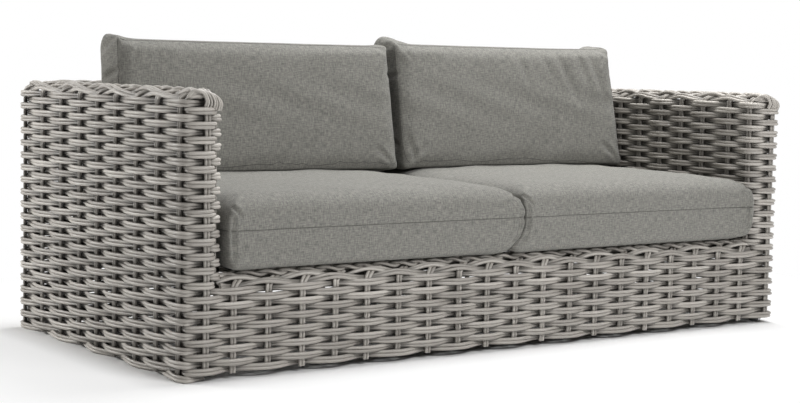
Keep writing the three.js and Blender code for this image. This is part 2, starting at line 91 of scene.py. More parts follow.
camera_data = bpy.data.cameras.new("camera")
camera_data.sensor_width = sensor_width
camera_data.lens = focal_share * sensor_width
camera = bpy.context.scene.camera = add_object("camera", camera_data)
camera.matrix_world = Matrix((right, up, -forward)).transposed().to_4x4()
camera.matrix_world.translation = camera_place
print("lens in mm:", round(camera_data.lens, 2))

# %% [markdown]
# ## Writing node trees
# Materials and Geometry Nodes are both trees of nodes. Drawing them by hand is slow to repeat, so
# this small writer adds a node, sets its values and links its inputs in one call. Wherever a
# number is wanted, the output of another node can be given instead.

# %% A writer of node trees
class Tree:
    def __init__(self, tree):
        self.tree = tree

    def fill(self, socket, value):
        if isinstance(value, bpy.types.NodeSocket):
            self.tree.links.new(value, socket)
        else:
            socket.default_value = value

    def node(self, kind, inputs=None, **settings):
        made = self.tree.nodes.new(kind)
        for key, value in settings.items():
            setattr(made, key, value)
        for key, value in (inputs or {}).items():
            self.fill(made.inputs[key], value)
        return made

    def link(self, node, **sockets):
        for label, socket in sockets.items():
            self.tree.links.new(socket, node.inputs[label.replace("_", " ")])

    def math(self, operation, *values):
        return self.node("ShaderNodeMath", dict(enumerate(values)), operation=operation).outputs[0]

    def vector(self, operation, *values):
        return self.node("ShaderNodeVectorMath", dict(enumerate(values)), operation=operation).outputs[0]

    def total(self, first, *others):
        for other in others:
            first = self.math("ADD", first, other)
        return first

    def product(self, first, *others):
        for other in others:
            first = self.math("MULTIPLY", first, other)
        return first

    def less(self, first, second):
        return self.math("SUBTRACT", first, second)

    def scaled(self, vector, factor):
        return self.node("ShaderNodeVectorMath", {0: vector, "Scale": factor}, operation="SCALE").outputs[0]

    def joined(self, x, y, z):
        return self.node("ShaderNodeCombineXYZ", {0: x, 1: y, 2: z}).outputs[0]

    def split(self, vector):
        return self.node("ShaderNodeSeparateXYZ", {0: vector}).outputs

    def spread(self, value, low, high, new_low, new_high):
        inputs = {0: value, 1: low, 2: high, 3: new_low, 4: new_high}
        return self.node("ShaderNodeMapRange", inputs).outputs[0]

    def noise(self, place, scale, detail, **more):
        return self.node("ShaderNodeTexNoise", {"Vector": place, "Scale": scale, "Detail": detail, **more},
                         noise_dimensions="4D" if "W" in more else "3D").outputs[0]

    def from_noise(self, noise, low, high):
        """Noise seldom leaves 0.3 to 0.7, so that part of it is stretched to the wanted ends."""
        return self.spread(noise, 0.3, 0.7, low, high)

    def mixed(self, factor, first, second):
        made = self.node("ShaderNodeMix", {0: factor}, data_type="RGBA")
        for index, value in ((6, first), (7, second)):
            self.fill(made.inputs[index], value if isinstance(value, bpy.types.NodeSocket) else (*value, 1))
        return made.outputs[2]


def open_group(kind, name, inputs, outputs):
    """A new node group with named sockets, as a writer, its input sockets by name and its output node."""
    group = bpy.data.node_groups.new(name, kind)
    for label, socket_type, value in inputs:
        socket = group.interface.new_socket(label, in_out="INPUT", socket_type=socket_type)
        if value is not None:
            socket.default_value = value
    for label, socket_type in outputs:
        group.interface.new_socket(label, in_out="OUTPUT", socket_type=socket_type)
    tree = Tree(group)
    source = tree.node("NodeGroupInput")
    return tree, {s.name: s for s in source.outputs if s.name}, tree.node("NodeGroupOutput")


print("the node writer is ready")

# %% [markdown]
# ## Finishes
# Three effects turn up in more than one finish, so each becomes a node group with named inputs:
# a fine grain for moulded and painted parts, streaks along a cane, and the threads of a woven
# cloth. The groups give out colours, masks and heights. The shader stays in each material.

# %% Shared finish: fine grain
FLOAT = "NodeSocketFloat"


def open_finish(name, sizes, masks):
    """A group for materials whose inputs are sizes in metres and whose outputs are masks or heights."""
    return open_group("ShaderNodeTree", name, [(label, FLOAT, value) for label, value in sizes.items()],
                      [(label, FLOAT) for label in masks])


def make_grain_group():
    tree, given, result = open_finish("fine_grain", {"Grain size": 0.001, "Dust size": 0.05},
                                      ("Grain", "Dust"))
    place = tree.node("ShaderNodeTexCoord").outputs["Object"]
    grain, dust = (tree.noise(place, tree.math("DIVIDE", 1.0, given[size]), detail)
                   for size, detail in (("Grain size", 2.0), ("Dust size", 4.0)))
    tree.link(result, Grain=grain, Dust=dust)
    return tree.tree


grain_group = make_grain_group()
print("group:", grain_group.name)

# %% [markdown]
# A cane of this sofa is extruded plastic, made to look like peeled rattan. Fine streaks run along
# it, and no two canes have quite the same tone. The pattern has to follow each cane, so the canes
# carry three attributes from the moment they are swept: how far along they run, where a point lies
# round the cane, and a tone of their own.

# %% Shared finish: streaks along a cane
cane_size = 0.0090


def make_streak_group():
    tree, given, result = open_finish("cane_streaks", {"Streak length": 0.06, "Streak width": 0.0012},
                                      ("Streaks", "Tone", "Weathering", "Sunk"))
    # Sunk is passed on for the shade that the cane material paints where a cane lies behind others.
    run, tone, sunk = (tree.node("ShaderNodeAttribute", attribute_name=name).outputs["Fac"]
                       for name in ("run", "tone", "sunk"))
    around = tree.node("ShaderNodeAttribute", attribute_name="around").outputs["Vector"]
    across = tree.split(tree.scaled(around, tree.math("DIVIDE", cane_size / 2, given["Streak width"])))
    # The tone is different on every cane, so it also shifts the streaks of one against those of the next.
    along = tree.total(tree.math("DIVIDE", run, given["Streak length"]), tree.product(tone, 87.0))
    streaks = tree.noise(tree.joined(across[0], across[1], along), 1.0, 3.0)
    weather = tree.noise(tree.node("ShaderNodeTexCoord").outputs["Object"], 7.0, 3.0)
    tree.link(result, Streaks=streaks, Tone=tone, Weathering=weather, Sunk=sunk)
    return tree.tree


streak_group = make_streak_group()
print("group:", streak_group.name)

# %% [markdown]
# The cushion cloth is a plain weave of marled yarn: light, dark and slightly warm threads cross, so
# from a distance the cloth looks flecked, and near by each thread shows. Cloth follows the
# surface, so the threads are laid out on the piece's own UV map, which is measured in metres.

# %% Shared finish: woven threads
def make_thread_group():
    tree, given, result = open_finish("woven_threads", {"Thread pitch": 0.0011, "Slub length": 0.017},
                                      ("Warp", "Weft", "Height", "Cloud"))
    uv = tree.node("ShaderNodeTexCoord").outputs["UV"]
    u, v = tree.split(uv)[:2]
    slub_width = tree.product(given["Thread pitch"], 1.9)

    def slubs(along, across, shift):
        stretched = tree.joined(tree.math("DIVIDE", along, given["Slub length"]),
                                tree.math("DIVIDE", across, slub_width), shift)
        return tree.noise(stretched, 1.0, 3.0, Roughness=0.6)

    def wave(across):
        return tree.math("SINE", tree.product(tree.math("DIVIDE", across, given["Thread pitch"]), math.pi))

    over = tree.math("GREATER_THAN", tree.product(wave(u), wave(v)), 0.0)
    height = tree.total(tree.product(tree.math("ABSOLUTE", wave(u)), over),
                        tree.product(tree.math("ABSOLUTE", wave(v)), tree.less(1.0, over)))
    tree.link(result, Warp=slubs(v, u, 3.0), Weft=slubs(u, v, 11.0), Height=height,
              Cloud=tree.noise(uv, 55.0, 4.0, Roughness=0.65))
    return tree.tree


thread_group = make_thread_group()
print("group:", thread_group.name)

# %% [markdown]
# ## The materials
# Each material mixes the masks of the shared groups into its own colours. The canes get a soft
# satin shine, and shade is painted on them where they pass behind others. The cloth gets a dull
# face with a little sheen at grazing angles and painted shade in the furrows between its threads,
# and the painted tube a fine powder-coat texture.

# %% Materials
def open_material(name, group, sizes=None, **settings):
    """A new material as a writer, with its shader and the outputs of a shared group placed in it."""
    material = bpy.data.materials.new(name)
    material.use_nodes = True
    tree = Tree(material.node_tree)
    shader = material.node_tree.nodes["Principled BSDF"]
    for label, value in settings.items():
        shader.inputs[label.replace("_", " ")].default_value = value
    masks = tree.node("ShaderNodeGroup", sizes, node_tree=group).outputs if group else None
    return material, tree, shader, masks


def add_bump(tree, shader, height, distance, strength):
    bump = tree.node("ShaderNodeBump", {"Height": height, "Distance": distance, "Strength": strength})
    tree.link(shader, Normal=bump.outputs[0])


def darker(colour, share):
    return tuple(share * channel for channel in colour)


def make_cane_material(name, light, dark):
    material, tree, shader, masks = open_material(name, streak_group, Specular_IOR_Level=0.5)
    blend = tree.total(tree.from_noise(masks["Streaks"], -0.18, 0.18),
                       tree.from_noise(masks["Weathering"], -0.12, 0.12), masks["Tone"])
    # Painted shade: the further a cane is sunk behind others, the darker its colour is mixed.
    painted_recess_shade = tree.spread(masks["Sunk"], 0.42, 0.86, 0.0, 0.86)
    colour = tree.mixed(painted_recess_shade, tree.mixed(blend, dark, light), darker(dark, 0.3))
    tree.link(shader, Base_Color=colour, Roughness=tree.from_noise(masks["Streaks"], 0.40, 0.54))
    add_bump(tree, shader, masks["Streaks"], 0.0004, 0.6)
    return material


def make_cloth_material(name, light, dark, pitch, sheen):
    material, tree, shader, masks = open_material(
        name, thread_group, {"Thread pitch": pitch}, Roughness=0.92, Sheen_Weight=sheen, Sheen_Roughness=0.6,
        Specular_IOR_Level=0.25)
    blend = tree.total(tree.from_noise(masks["Warp"], -0.52, 0.52),
                       tree.from_noise(masks["Weft"], -0.52, 0.52),
                       tree.from_noise(masks["Cloud"], 0.46, 0.54))
    # Painted shade: the furrows between the threads are mixed darker.
    painted_furrow_shade = tree.spread(masks["Height"], 0.0, 1.0, 0.35, 0.0)
    tree.link(shader, Base_Color=tree.mixed(painted_furrow_shade, tree.mixed(blend, dark, light), darker(dark, 0.5)))
    add_bump(tree, shader, masks["Height"], 0.0003, 0.5)
    return material


def make_coated_material(name, colour, dusty, grain_size, roughness, **settings):
    material, tree, shader, masks = open_material(name, grain_group, {"Grain size": grain_size}, **settings)
    dust = tree.spread(masks["Dust"], 0.35, 0.75, 0.0, 1.0)
    tree.link(shader, Base_Color=tree.mixed(dust, colour, dusty),
              Roughness=tree.from_noise(masks["Grain"], roughness - 0.08, roughness + 0.08))
    add_bump(tree, shader, masks["Grain"], 0.0002, 0.5)
    return material


cane_material = make_cane_material("wicker_cane", (0.50, 0.472, 0.432), (0.250, 0.231, 0.208))
cloth_material, painted_shade_seam_material, tape_material = (make_cloth_material(*values) for values in (
    ("cushion_cloth", (0.293, 0.285, 0.255), (0.135, 0.134, 0.123), 0.0013, 0.12),
    # The seam cord is darker than the cover: painted shade of the groove along the seam.
    ("seam_cloth_painted_shade", (0.16, 0.155, 0.14), (0.07, 0.07, 0.065), 0.0007, 0.1),
    ("zip_tape_cloth", (0.14, 0.135, 0.125), (0.07, 0.068, 0.062), 0.0006, 0.1)))
frame_material = make_coated_material(
    "powder_coated_tube", (0.075, 0.068, 0.06), (0.10, 0.093, 0.083), 0.0006, 0.5)
foot_material = make_coated_material(
    "black_foot_plastic", (0.012, 0.012, 0.012), (0.03, 0.03, 0.03), 0.0008, 0.5)
metal_material = make_coated_material(
    "zip_metal_alloy", (0.42, 0.41, 0.40), (0.33, 0.32, 0.31), 0.0005, 0.34, Metallic=1.0)
print("materials:", len(bpy.data.materials))

# %% [markdown]
# ## Where the weave runs
# Seen from above, the upper rows follow a closed line: round the outside of the left arm and its
# front, along its inner face, across the inner face of the back, and the same way out round the
# right arm and the back. The lower rows follow a simpler ring that goes straight across the front.
# Both rings are drawn once as rounded outlines, and the uprights are set on them as on the sofa.
# Woven corners are never quite square: two of the outer ones stand out by a few millimetres.

# %% Rings of the weave
half_length, half_depth = 0.980, 0.4775
arm_inside, back_inside = 0.870, 0.3275  # the faces towards the cushions
wave_depth = 0.0102  # from an upright's centre line to the centre of a cane that crosses it
crest = wave_depth + cane_size / 2
ring_x, ring_y = half_length - crest, half_depth - crest
inner_x, inner_y = arm_inside + crest, back_inside + crest
outer_bend, front_bend, inside_bend = 0.010, 0.038 - crest, 0.016


def reach_along(points):
    """How far along a line of points each of them lies."""
    return np.concatenate([[0], np.cumsum(np.linalg.norm(np.diff(points, axis=0), axis=1))])


def sampled(points, reach, wanted):
    """The points of a line at the wanted distances along it."""
    return np.column_stack([np.interp(wanted, reach, column) for column in points.T])


def unit(vectors):
    return vectors / np.linalg.norm(vectors, axis=1)[:, None]


def rounded_ring(corners, step=0.002):
    """Points at even steps on a closed outline whose corners, given as x, y and radius, are rounded."""
    points = []
    for index, (x, y, radius) in enumerate(corners):
        here = np.array((x, y))
        before = np.array(corners[index - 1][:2]) - here
        after = np.array(corners[(index + 1) % len(corners)][:2]) - here
        before, after = before / np.linalg.norm(before), after / np.linalg.norm(after)
        centre = here + radius * (before + after)
        for turn in np.linspace(0, math.pi / 2, 40):
            points.append(centre - radius * (math.cos(turn) * after + math.sin(turn) * before))
    closed = np.array(points + points[:1])
    reach = reach_along(closed)
    return sampled(closed, reach, np.arange(0, reach[-1], step))


rear_left = (-ring_x - 0.004, ring_y + 0.004, outer_bend)
front_left, rear_right = (-ring_x, -ring_y, outer_bend), (ring_x, ring_y, outer_bend)
front_right = (ring_x + 0.004, -ring_y - 0.002, outer_bend)
upper_ring = rounded_ring([
    rear_left, front_left, (-inner_x, -ring_y, front_bend), (-inner_x, inner_y, inside_bend),
    (inner_x, inner_y, inside_bend), (inner_x, -ring_y, front_bend), front_right, rear_right])
lower_ring = rounded_ring([rear_left, front_left, front_right, rear_right])

side_uprights = (0.463, 0.343, 0.223, 0.111, 0.007, -0.096, -0.208, -0.315, -0.4265)
inner_uprights = (-0.4420, -0.3615, -0.2550, -0.1660, -0.0780, 0.0140, 0.1050, 0.1950, 0.2830)
upright_pitch = 0.0935
front_uprights = [(i - 9) * upright_pitch for i in range(19)]
back_uprights = [(10 - i) * upright_pitch for i in range(21)]

left_marks = [(-ring_x, y) for y in side_uprights] + [(-0.914, -ring_y)]  # the arm's outside and front
right_marks = ([(0.955, -ring_y)] + [(ring_x, y) for y in reversed(side_uprights)]
               + [(x, ring_y) for x in back_uprights])
upper_marks = (left_marks + [(-inner_x, y) for y in inner_uprights] + [(x, inner_y) for x in front_uprights]
               + [(inner_x, y) for y in reversed(inner_uprights)] + right_marks)
lower_marks = left_marks + [(x, -ring_y) for x in front_uprights] + right_marks
print("uprights on the rings:", len(upper_marks), len(lower_marks))

# %% [markdown]
# A place on a ring is counted in uprights: 0 is the first, 1 the next, 1.5 is halfway to the one
# after. That count makes the weave easy to state, because a cane that goes in front of upright 4 goes
# behind upright 5. Both rings have an even number of uprights, so the count closes on itself.

# %% Places along a ring
class Ring:
    def __init__(self, points, marks):
        self.count = len(marks)
        self.closed = np.vstack([points, points[:1]])
        self.reach = reach_along(self.closed)
        nearest = [int(np.argmin(np.linalg.norm(points - np.array(mark), axis=1))) for mark in marks]
        run = self.reach[nearest]
        run[run < run[0]] += self.reach[-1]
        self.run = np.append(run, run[0] + self.reach[-1])

    def places(self, counts):
        """Position and outward direction at each place, counted in uprights."""
        within = np.mod(np.asarray(counts, float), self.count)
        run = np.interp(within, np.arange(self.count + 1), self.run)
        here, ahead, astern = (sampled(self.closed, self.reach, (run + step) % self.reach[-1])
                               for step in (0, 0.003, -0.003))
        travel = unit(ahead - astern)
        return here, np.column_stack([travel[:, 1], -travel[:, 0]])

    def counts_between(self, first, last, step):
        """Counts from one upright to another, with points about one step apart."""
        counts = []
        for upright in range(first, last):
            index = upright % self.count
            pieces = max(6, round((self.run[index + 1] - self.run[index]) / step))
            counts += [upright + part / pieces for part in range(pieces)]
        return np.array(counts + [last])


upper, lower = Ring(upper_ring, upper_marks), Ring(lower_ring, lower_marks)
print("ring lengths in m:", round(upper.reach[-1], 2), round(lower.reach[-1], 2))

# %% [markdown]
# ## Sweeping a cane
# Every cane is a path with a round section swept along it. The same last steps serve the rows, the
# uprights and the plaits, so they become one Geometry Nodes group: it gives each path a thickness
# and a tone of its own, notes how far along and round each point lies, and sweeps the section.

# %% Shared step: sweep a cane
GEOMETRY, INTEGER, MATERIAL = "NodeSocketGeometry", "NodeSocketInt", "NodeSocketMaterial"
cane_inputs = [("Cane size", FLOAT, cane_size), ("Sides", INTEGER, 8), ("Seed", INTEGER, 1)]


def named(tree, name, data_type="FLOAT"):
    return tree.node("GeometryNodeInputNamedAttribute", {"Name": name}, data_type=data_type).outputs[0]


def stored(tree, geometry, name, value, domain="POINT", data_type="FLOAT"):
    inputs = {"Geometry": geometry, "Name": name, "Value": value}
    return tree.node("GeometryNodeStoreNamedAttribute", inputs, domain=domain, data_type=data_type).outputs[0]


def random_share(tree, low, high, index, seed):
    inputs = {2: low, 3: high, "ID": index, "Seed": seed}
    return tree.node("FunctionNodeRandomValue", inputs, data_type="FLOAT").outputs[1]


def make_sweep_group():
    tree, given, result = open_group(
        "GeometryNodeTree", "sweep_cane", [("Paths", GEOMETRY, None), *cane_inputs], [("Canes", GEOMETRY)])
    path = tree.node("GeometryNodeCurveOfPoint").outputs["Curve Index"]
    paths = stored(tree, given["Paths"], "tone", random_share(tree, 0.12, 0.88, path, given["Seed"]))
    paths = stored(tree, paths, "run", tree.node("GeometryNodeSplineParameter").outputs["Length"])
    size = random_share(tree, 0.94, 1.05, path, tree.total(given["Seed"], 7.0))
    paths = tree.node("GeometryNodeSetCurveRadius", {"Curve": paths, "Radius": size}).outputs[0]
    section = tree.node("GeometryNodeCurvePrimitiveCircle", {
        "Resolution": given["Sides"], "Radius": tree.product(given["Cane size"], 0.5)},
        mode="RADIUS").outputs[0]
    place = tree.node("GeometryNodeInputPosition").outputs[0]
    section = stored(tree, section, "around", tree.vector("NORMALIZE", place), data_type="FLOAT_VECTOR")
    tubes = tree.node("GeometryNodeCurveToMesh", {
        "Curve": paths, "Profile Curve": section, "Fill Caps": True})
    tree.link(result, Canes=tubes.outputs[0])
    return tree.tree


sweep_group = make_sweep_group()
print("group:", sweep_group.name)

# %% [markdown]
# Every tree of this sofa starts from bare lines and ends in canes, so its first and last steps are
# written once. In between it copies the lines, and pushes their points about in two directions that
# the lines bring along.

# %% Shared steps: from lines to canes
def open_cane_tree(name, inputs):
    """A tree that makes canes, as a writer, its inputs, its output node and the lines to start from."""
    tree, given, result = open_group(
        "GeometryNodeTree", name,
        [("Guide", GEOMETRY, None), *inputs, *cane_inputs, ("Material", MATERIAL, None)],
        [("Canes", GEOMETRY)])
    return tree, given, result, tree.node("GeometryNodeMeshToCurve", {"Mesh": given["Guide"]}).outputs[0]


def copied(tree, lines, amount, name, value):
    """Copies every line, and stores on each copy a value worked out from its number."""
    copies = tree.node("GeometryNodeDuplicateElements", {"Geometry": lines, "Amount": amount},
                       domain="SPLINE").outputs
    return stored(tree, copies["Geometry"], name, value(copies["Duplicate Index"]), domain="CURVE")


def paired(tree, lines):
    return copied(tree, lines, 2, "side", lambda number: tree.math("MULTIPLY_ADD", number, 2.0, -1.0))


def wander(tree, scale, reach, **more):
    """A slow unevenness from place to place, up to about the given reach either way."""
    noise = tree.noise(tree.node("GeometryNodeInputPosition").outputs[0], scale, 1.0, **more)
    return tree.product(tree.less(noise, 0.5), 2.0, reach)


def pushed(tree, lines, *pushes):
    """Moves every point in two stored directions, each by its own amount."""
    moves = [tree.scaled(named(tree, direction, "FLOAT_VECTOR"), amount) for direction, amount in pushes]
    place = tree.node("GeometryNodeInputPosition").outputs[0]
    moved = tree.vector("ADD", place, tree.vector("ADD", *moves))
    return tree.node("GeometryNodeSetPosition", {"Geometry": lines, "Position": moved}).outputs[0]


def finish_canes(tree, given, paths, result):
    """Sweeps the paths, gives them their material and makes them real geometry."""
    swept = tree.node("GeometryNodeGroup", {
        "Paths": paths, **{label: given[label] for label, kind, value in cane_inputs}}, node_tree=sweep_group)
    smooth = tree.node("GeometryNodeSetShadeSmooth", {"Geometry": swept.outputs[0]})
    real = tree.node("GeometryNodeRealizeInstances", {"Geometry": smooth.outputs[0]})
    coloured = tree.node("GeometryNodeSetMaterial", {
        "Geometry": real.outputs[0], "Material": given["Material"]})
    tree.link(result, Canes=coloured.outputs[0])
    return tree.tree


print("steps from lines to canes are ready")

# %% [markdown]
# ## The rows
# A row is a pair of canes that lie one above the other. It swings in front of one upright and behind
# the next, and the rows above and below swing the other way. The pair opens a little where it
# bulges over an upright, and its canes roll round each other in between. The tree takes one
# line along a wall, copies it once for each row and once for each cane of the pair, and bends
# every copy by that rule. At each end a row stops behind an upright, as on the real sofa,
# where the next panel's cane starts. Where a cane passes behind an upright it stores how far it is
# sunk, and the cane material paints shade on it there.

# %% Geometry Nodes: woven rows
def make_row_tree():
    tree, given, result, lines = open_cane_tree("woven_rows", [
        ("First row", INTEGER, 0), ("Rows", INTEGER, 12), ("Row pitch", FLOAT, 0.0166),
        ("Lowest edge", FLOAT, 0.016), ("Wave depth", FLOAT, wave_depth), ("Half spread", FLOAT, 0.0042),
        ("Close", FLOAT, 0.0015), ("Shade", FLOAT, 1.0), ("Roll", FLOAT, 0.0028), ("Sway", FLOAT, 0.0016),
        ("First upright", FLOAT, 0.0), ("Last upright", FLOAT, 1.0)])
    lines = copied(tree, lines, given["Rows"], "row", lambda number: tree.total(given["First row"], number))
    lines = paired(tree, lines)

    row, side, upright = named(tree, "row"), named(tree, "side"), named(tree, "upright")
    wave = tree.product(tree.math("COSINE", tree.product(tree.total(upright, row), math.pi)), -1.0)
    before = tree.math("FLOOR", upright)
    between = tree.math("SINE", tree.product(tree.less(upright, before), math.pi))
    roll = random_share(tree, -1.0, 1.0, tree.total(tree.product(row, 211.0), before), given["Seed"])
    depth = tree.total(tree.product(wave, given["Wave depth"]),
                       tree.product(side, between, roll, given["Roll"]))
    sunk = tree.spread(wave, -1.0, 1.0, 1.0, 0.0)
    spread = tree.less(given["Half spread"], tree.product(sunk, sunk, given["Close"]))

    slow = wander(tree, 2.6, given["Sway"], W=tree.product(row, 0.21))
    quick_shift = tree.total(tree.product(row, 5.3), tree.product(side, 0.17))
    quick = tree.product(wander(tree, 9.0, given["Sway"], W=quick_shift), 0.55)
    height = tree.total(given["Lowest edge"], tree.product(tree.total(row, 0.5), given["Row pitch"]),
                        tree.product(side, spread), slow, quick)
    # Painted shade: how far the cane is sunk, times the wall's shade, sets how dark the material paints it.
    lines = stored(tree, lines, "sunk", tree.product(sunk, given["Shade"]))
    lines = pushed(tree, lines, ("outward", depth), ("rise", height))

    def stop(edge):
        """The nearest upright on from a panel's edge that this row passes behind."""
        return tree.total(edge, tree.math("FLOORED_MODULO", tree.total(edge, row), 2.0))

    outside = tree.total(tree.math("LESS_THAN", upright, tree.less(stop(given["First upright"]), 0.001)),
                         tree.math("GREATER_THAN", upright, tree.total(stop(given["Last upright"]), 0.001)))
    lines = tree.node("GeometryNodeDeleteGeometry", {"Geometry": lines, "Selection": outside}, domain="POINT")
    return finish_canes(tree, given, lines.outputs[0], result)


row_tree = make_row_tree()
print("tree:", row_tree.name)

# %% [markdown]
# The uprights are pairs of canes too. They stand side by side and bow slightly away from each row that
# crosses them. The guide of an upright says at every point in which direction its two canes lie apart.

# %% Geometry Nodes: uprights
upright_size = 0.0082


def make_upright_tree():
    tree, given, result, lines = open_cane_tree("woven_uprights", [
        ("Row pitch", FLOAT, 0.0166), ("Lowest edge", FLOAT, 0.016), ("Bow", FLOAT, 0.0009),
        ("Half gap", FLOAT, 0.0042), ("Sway", FLOAT, 0.0012), ("Shade", FLOAT, 0.62)])
    lines = paired(tree, lines)
    height = tree.split(tree.node("GeometryNodeInputPosition").outputs[0])[2]
    row = tree.less(tree.math("DIVIDE", tree.less(height, given["Lowest edge"]), given["Row pitch"]), 0.5)
    turn = tree.product(tree.total(named(tree, "upright"), row), math.pi)
    woven = named(tree, "woven")
    bow = tree.product(tree.math("COSINE", turn), given["Bow"], woven)
    shift = tree.total(tree.product(named(tree, "side"), given["Half gap"]), wander(tree, 8.0, given["Sway"]))
    # Painted shade: the part of an upright woven in among the rows is stored as sunk, so the material darkens
    # it.
    lines = stored(tree, lines, "sunk", tree.product(woven, given["Shade"]))
    return finish_canes(tree, given, pushed(tree, lines, ("outward", bow), ("apart", shift)), result)


upright_tree = make_upright_tree()
print("tree:", upright_tree.name)

# %% [markdown]
# ## From a guide to a piece
# A guide is a bare line in a mesh: its points, and the values that a tree reads from them. The tree
# is put on it as a modifier, its inputs are set, and the result is taken off as a plain mesh, so
# the finished piece carries no live modifier.

# %% Run a tree on a guide
def make_guide(name, lines, attributes):
    """A mesh of open lines. Each line is a list of points, and each attribute one value per point."""
    mesh = bpy.data.meshes.new(name)
    points, edges = [], []
    for line in lines:
        start = len(points)
        points += [tuple(point) for point in line]
        edges += [(start + i, start + i + 1) for i in range(len(line) - 1)]
    mesh.from_pydata(points, edges, [])
    for label, values in attributes.items():
        flat = np.asarray(values, np.float32)
        is_vector = flat.ndim == 2
        layer = mesh.attributes.new(label, "FLOAT_VECTOR" if is_vector else "FLOAT", "POINT")
        layer.data.foreach_set("vector" if is_vector else "value", flat.ravel())
    return mesh


def plain_mesh(piece):
    """What the modifiers of an object make of it, as a mesh of its own."""
    graph = bpy.context.evaluated_depsgraph_get()
    evaluated = piece.evaluated_get(graph)
    return bpy.data.meshes.new_from_object(evaluated, preserve_all_data_layers=True, depsgraph=graph)


def run_tree(name, guide, tree, values):
    """The plain mesh that a tree makes from a guide, as a new object."""
    holder = add_object(name, guide)
    modifier = holder.modifiers.new("build", "NODES")
    modifier.node_group = tree
    identifiers = {item.name: item.identifier for item in tree.interface.items_tree
                   if item.item_type == "SOCKET" and item.in_out == "INPUT"}
    for label, value in values.items():
        modifier[identifiers[label]] = value
    mesh = plain_mesh(holder)
    bpy.data.objects.remove(holder)
    mesh.name = name
    return add_object(name, mesh)


def count_triangles(piece):
    return sum(len(polygon.vertices) - 2 for polygon in piece.data.polygons)


def settle(piece, body, slot, *nodes):
    """The closing calls of a piece: what it moves with, and the nodes it stands for. The slot is not used."""
    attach(piece, body)
    if nodes:
        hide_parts(*nodes)
    print(piece.name, count_triangles(piece), "triangles")
    return piece


def make_canes(name, tree, lines, attributes, values, *nodes):
    """A piece of the wicker body: the canes that a tree makes on some lines."""
    piece = run_tree(name, make_guide(name, lines, attributes), tree, {**values, "Material": cane_material})
    return settle(piece, "root", "wicker", *nodes)


print("steps from a guide to a piece are ready")

# %% [markdown]
# ## The woven walls
# Each wall of the solid model is replaced by its own piece of weave. A wall is a stretch of a
# ring between two uprights and a number of rows. The long outer face of the back is made in two
# heights, so that no single mesh becomes too heavy. Each wall has its own strength of painted shade
# on the sunk canes, and a smaller one leaves them lighter.

# %% Weave the walls
row_count, apron_rows = 38, 12
weave_bottom, weave_top = 0.016, 0.648
row_pitch = (weave_top - weave_bottom) / row_count
guide_step = 0.0118


def weave_wall(name, node, ring, first, last, first_row, end_row, painted_shade=1.0):
    counts = ring.counts_between(first, last + 1, guide_step)
    places, outward = ring.places(counts)
    level = np.zeros(len(counts))
    return make_canes(name, row_tree, [np.column_stack([places, level])], {
        "upright": counts, "outward": np.column_stack([outward, level]),
        "rise": np.tile((0.0, 0.0, 1.0), (len(counts), 1))}, {
        "First row": first_row, "Rows": end_row - first_row, "Row pitch": row_pitch,
        "Lowest edge": weave_bottom, "First upright": float(first), "Last upright": float(last),
        "Seed": 11 + first, "Shade": painted_shade}, node)


# The last column is how much shade is painted on the wall's sunk canes.
for part, first, last, first_row, painted_shade in (
        ("arm_outer_left", 0, 8, 0, 1.0), ("arm_front_left", 8, 10, apron_rows, 0.8),
        ("arm_inner_left", 10, 19, apron_rows, 1.0), ("back_inner", 19, 37, apron_rows, 1.0),
        ("arm_inner_right", 37, 46, apron_rows, 1.0), ("arm_front_right", 46, 48, apron_rows, 0.8),
        ("arm_outer_right", 48, 56, 0, 1.0)):
    weave_wall(f"rows_{part}", f"weave_{part}", upper, first, last, first_row, row_count, painted_shade)
half_way = row_count // 2
weave_wall("rows_back_lower", "weave_back_outer", upper, 56, 78, 0, half_way)
weave_wall("rows_back_upper", "weave_back_outer", upper, 56, 78, half_way, row_count)
weave_wall("rows_apron", "weave_apron", lower, 8, 30, 0, apron_rows, 0.74)

# %% [markdown]
# ## The rounded edges
# The weave doesn't stop at the top of a wall. It curls inward over the rail for two more rows, so the
# edge is rounded, and only then does the plait close the middle. In section the curl is a quarter of an
# ellipse. A row on it follows the same rule as on the wall, but each of its floats runs slightly
# downhill, as the canes of a border do, and everything leans a little the further it goes over.

# %% The curl of an edge
panel_top, apron_top = 0.647, 0.2132
curl_inward, curl_rise = 0.0403, 0.0185
curl_turns = np.linspace(0, math.pi / 2, 60)
curl_line = np.column_stack([curl_inward * (np.cos(curl_turns) - 1), curl_rise * np.sin(curl_turns)])
curl_reach = reach_along(curl_line)
upright_end = 0.041  # how far over the curl an upright goes before it ends under the plait
end_lean = 0.45  # how far it has leant there, in uprights
beyond_all = 200.0  # more uprights than a ring has, so that a row that runs round isn't cut off


def curl(reach):
    """How far out and up the edge has gone at each reach along it, and the two parts of its way out."""
    turn = np.interp(reach, curl_reach, curl_turns)
    out = np.interp(reach, curl_reach, curl_line[:, 0])
    up = np.where(reach < 0, reach, np.interp(reach, curl_reach, curl_line[:, 1]))
    way = unit(np.column_stack([np.cos(turn) / curl_inward, np.sin(turn) / curl_rise]))
    return out, up, way[:, 0], way[:, 1]


def lean_at(reach):
    return end_lean * np.clip(np.asarray(reach) / upright_end, 0, 1) ** 1.2


soft_corners = ((-arm_inside, -half_depth), (half_length, -half_depth))  # where the edge rounds off


def corner_drop(places):
    """How far the edge is lowered at each place, so that it rounds off at the front of each arm."""
    return sum(0.011 * np.exp(-(np.linalg.norm(places - np.array(corner), axis=1) / 0.038) ** 2)
               for corner in soft_corners)


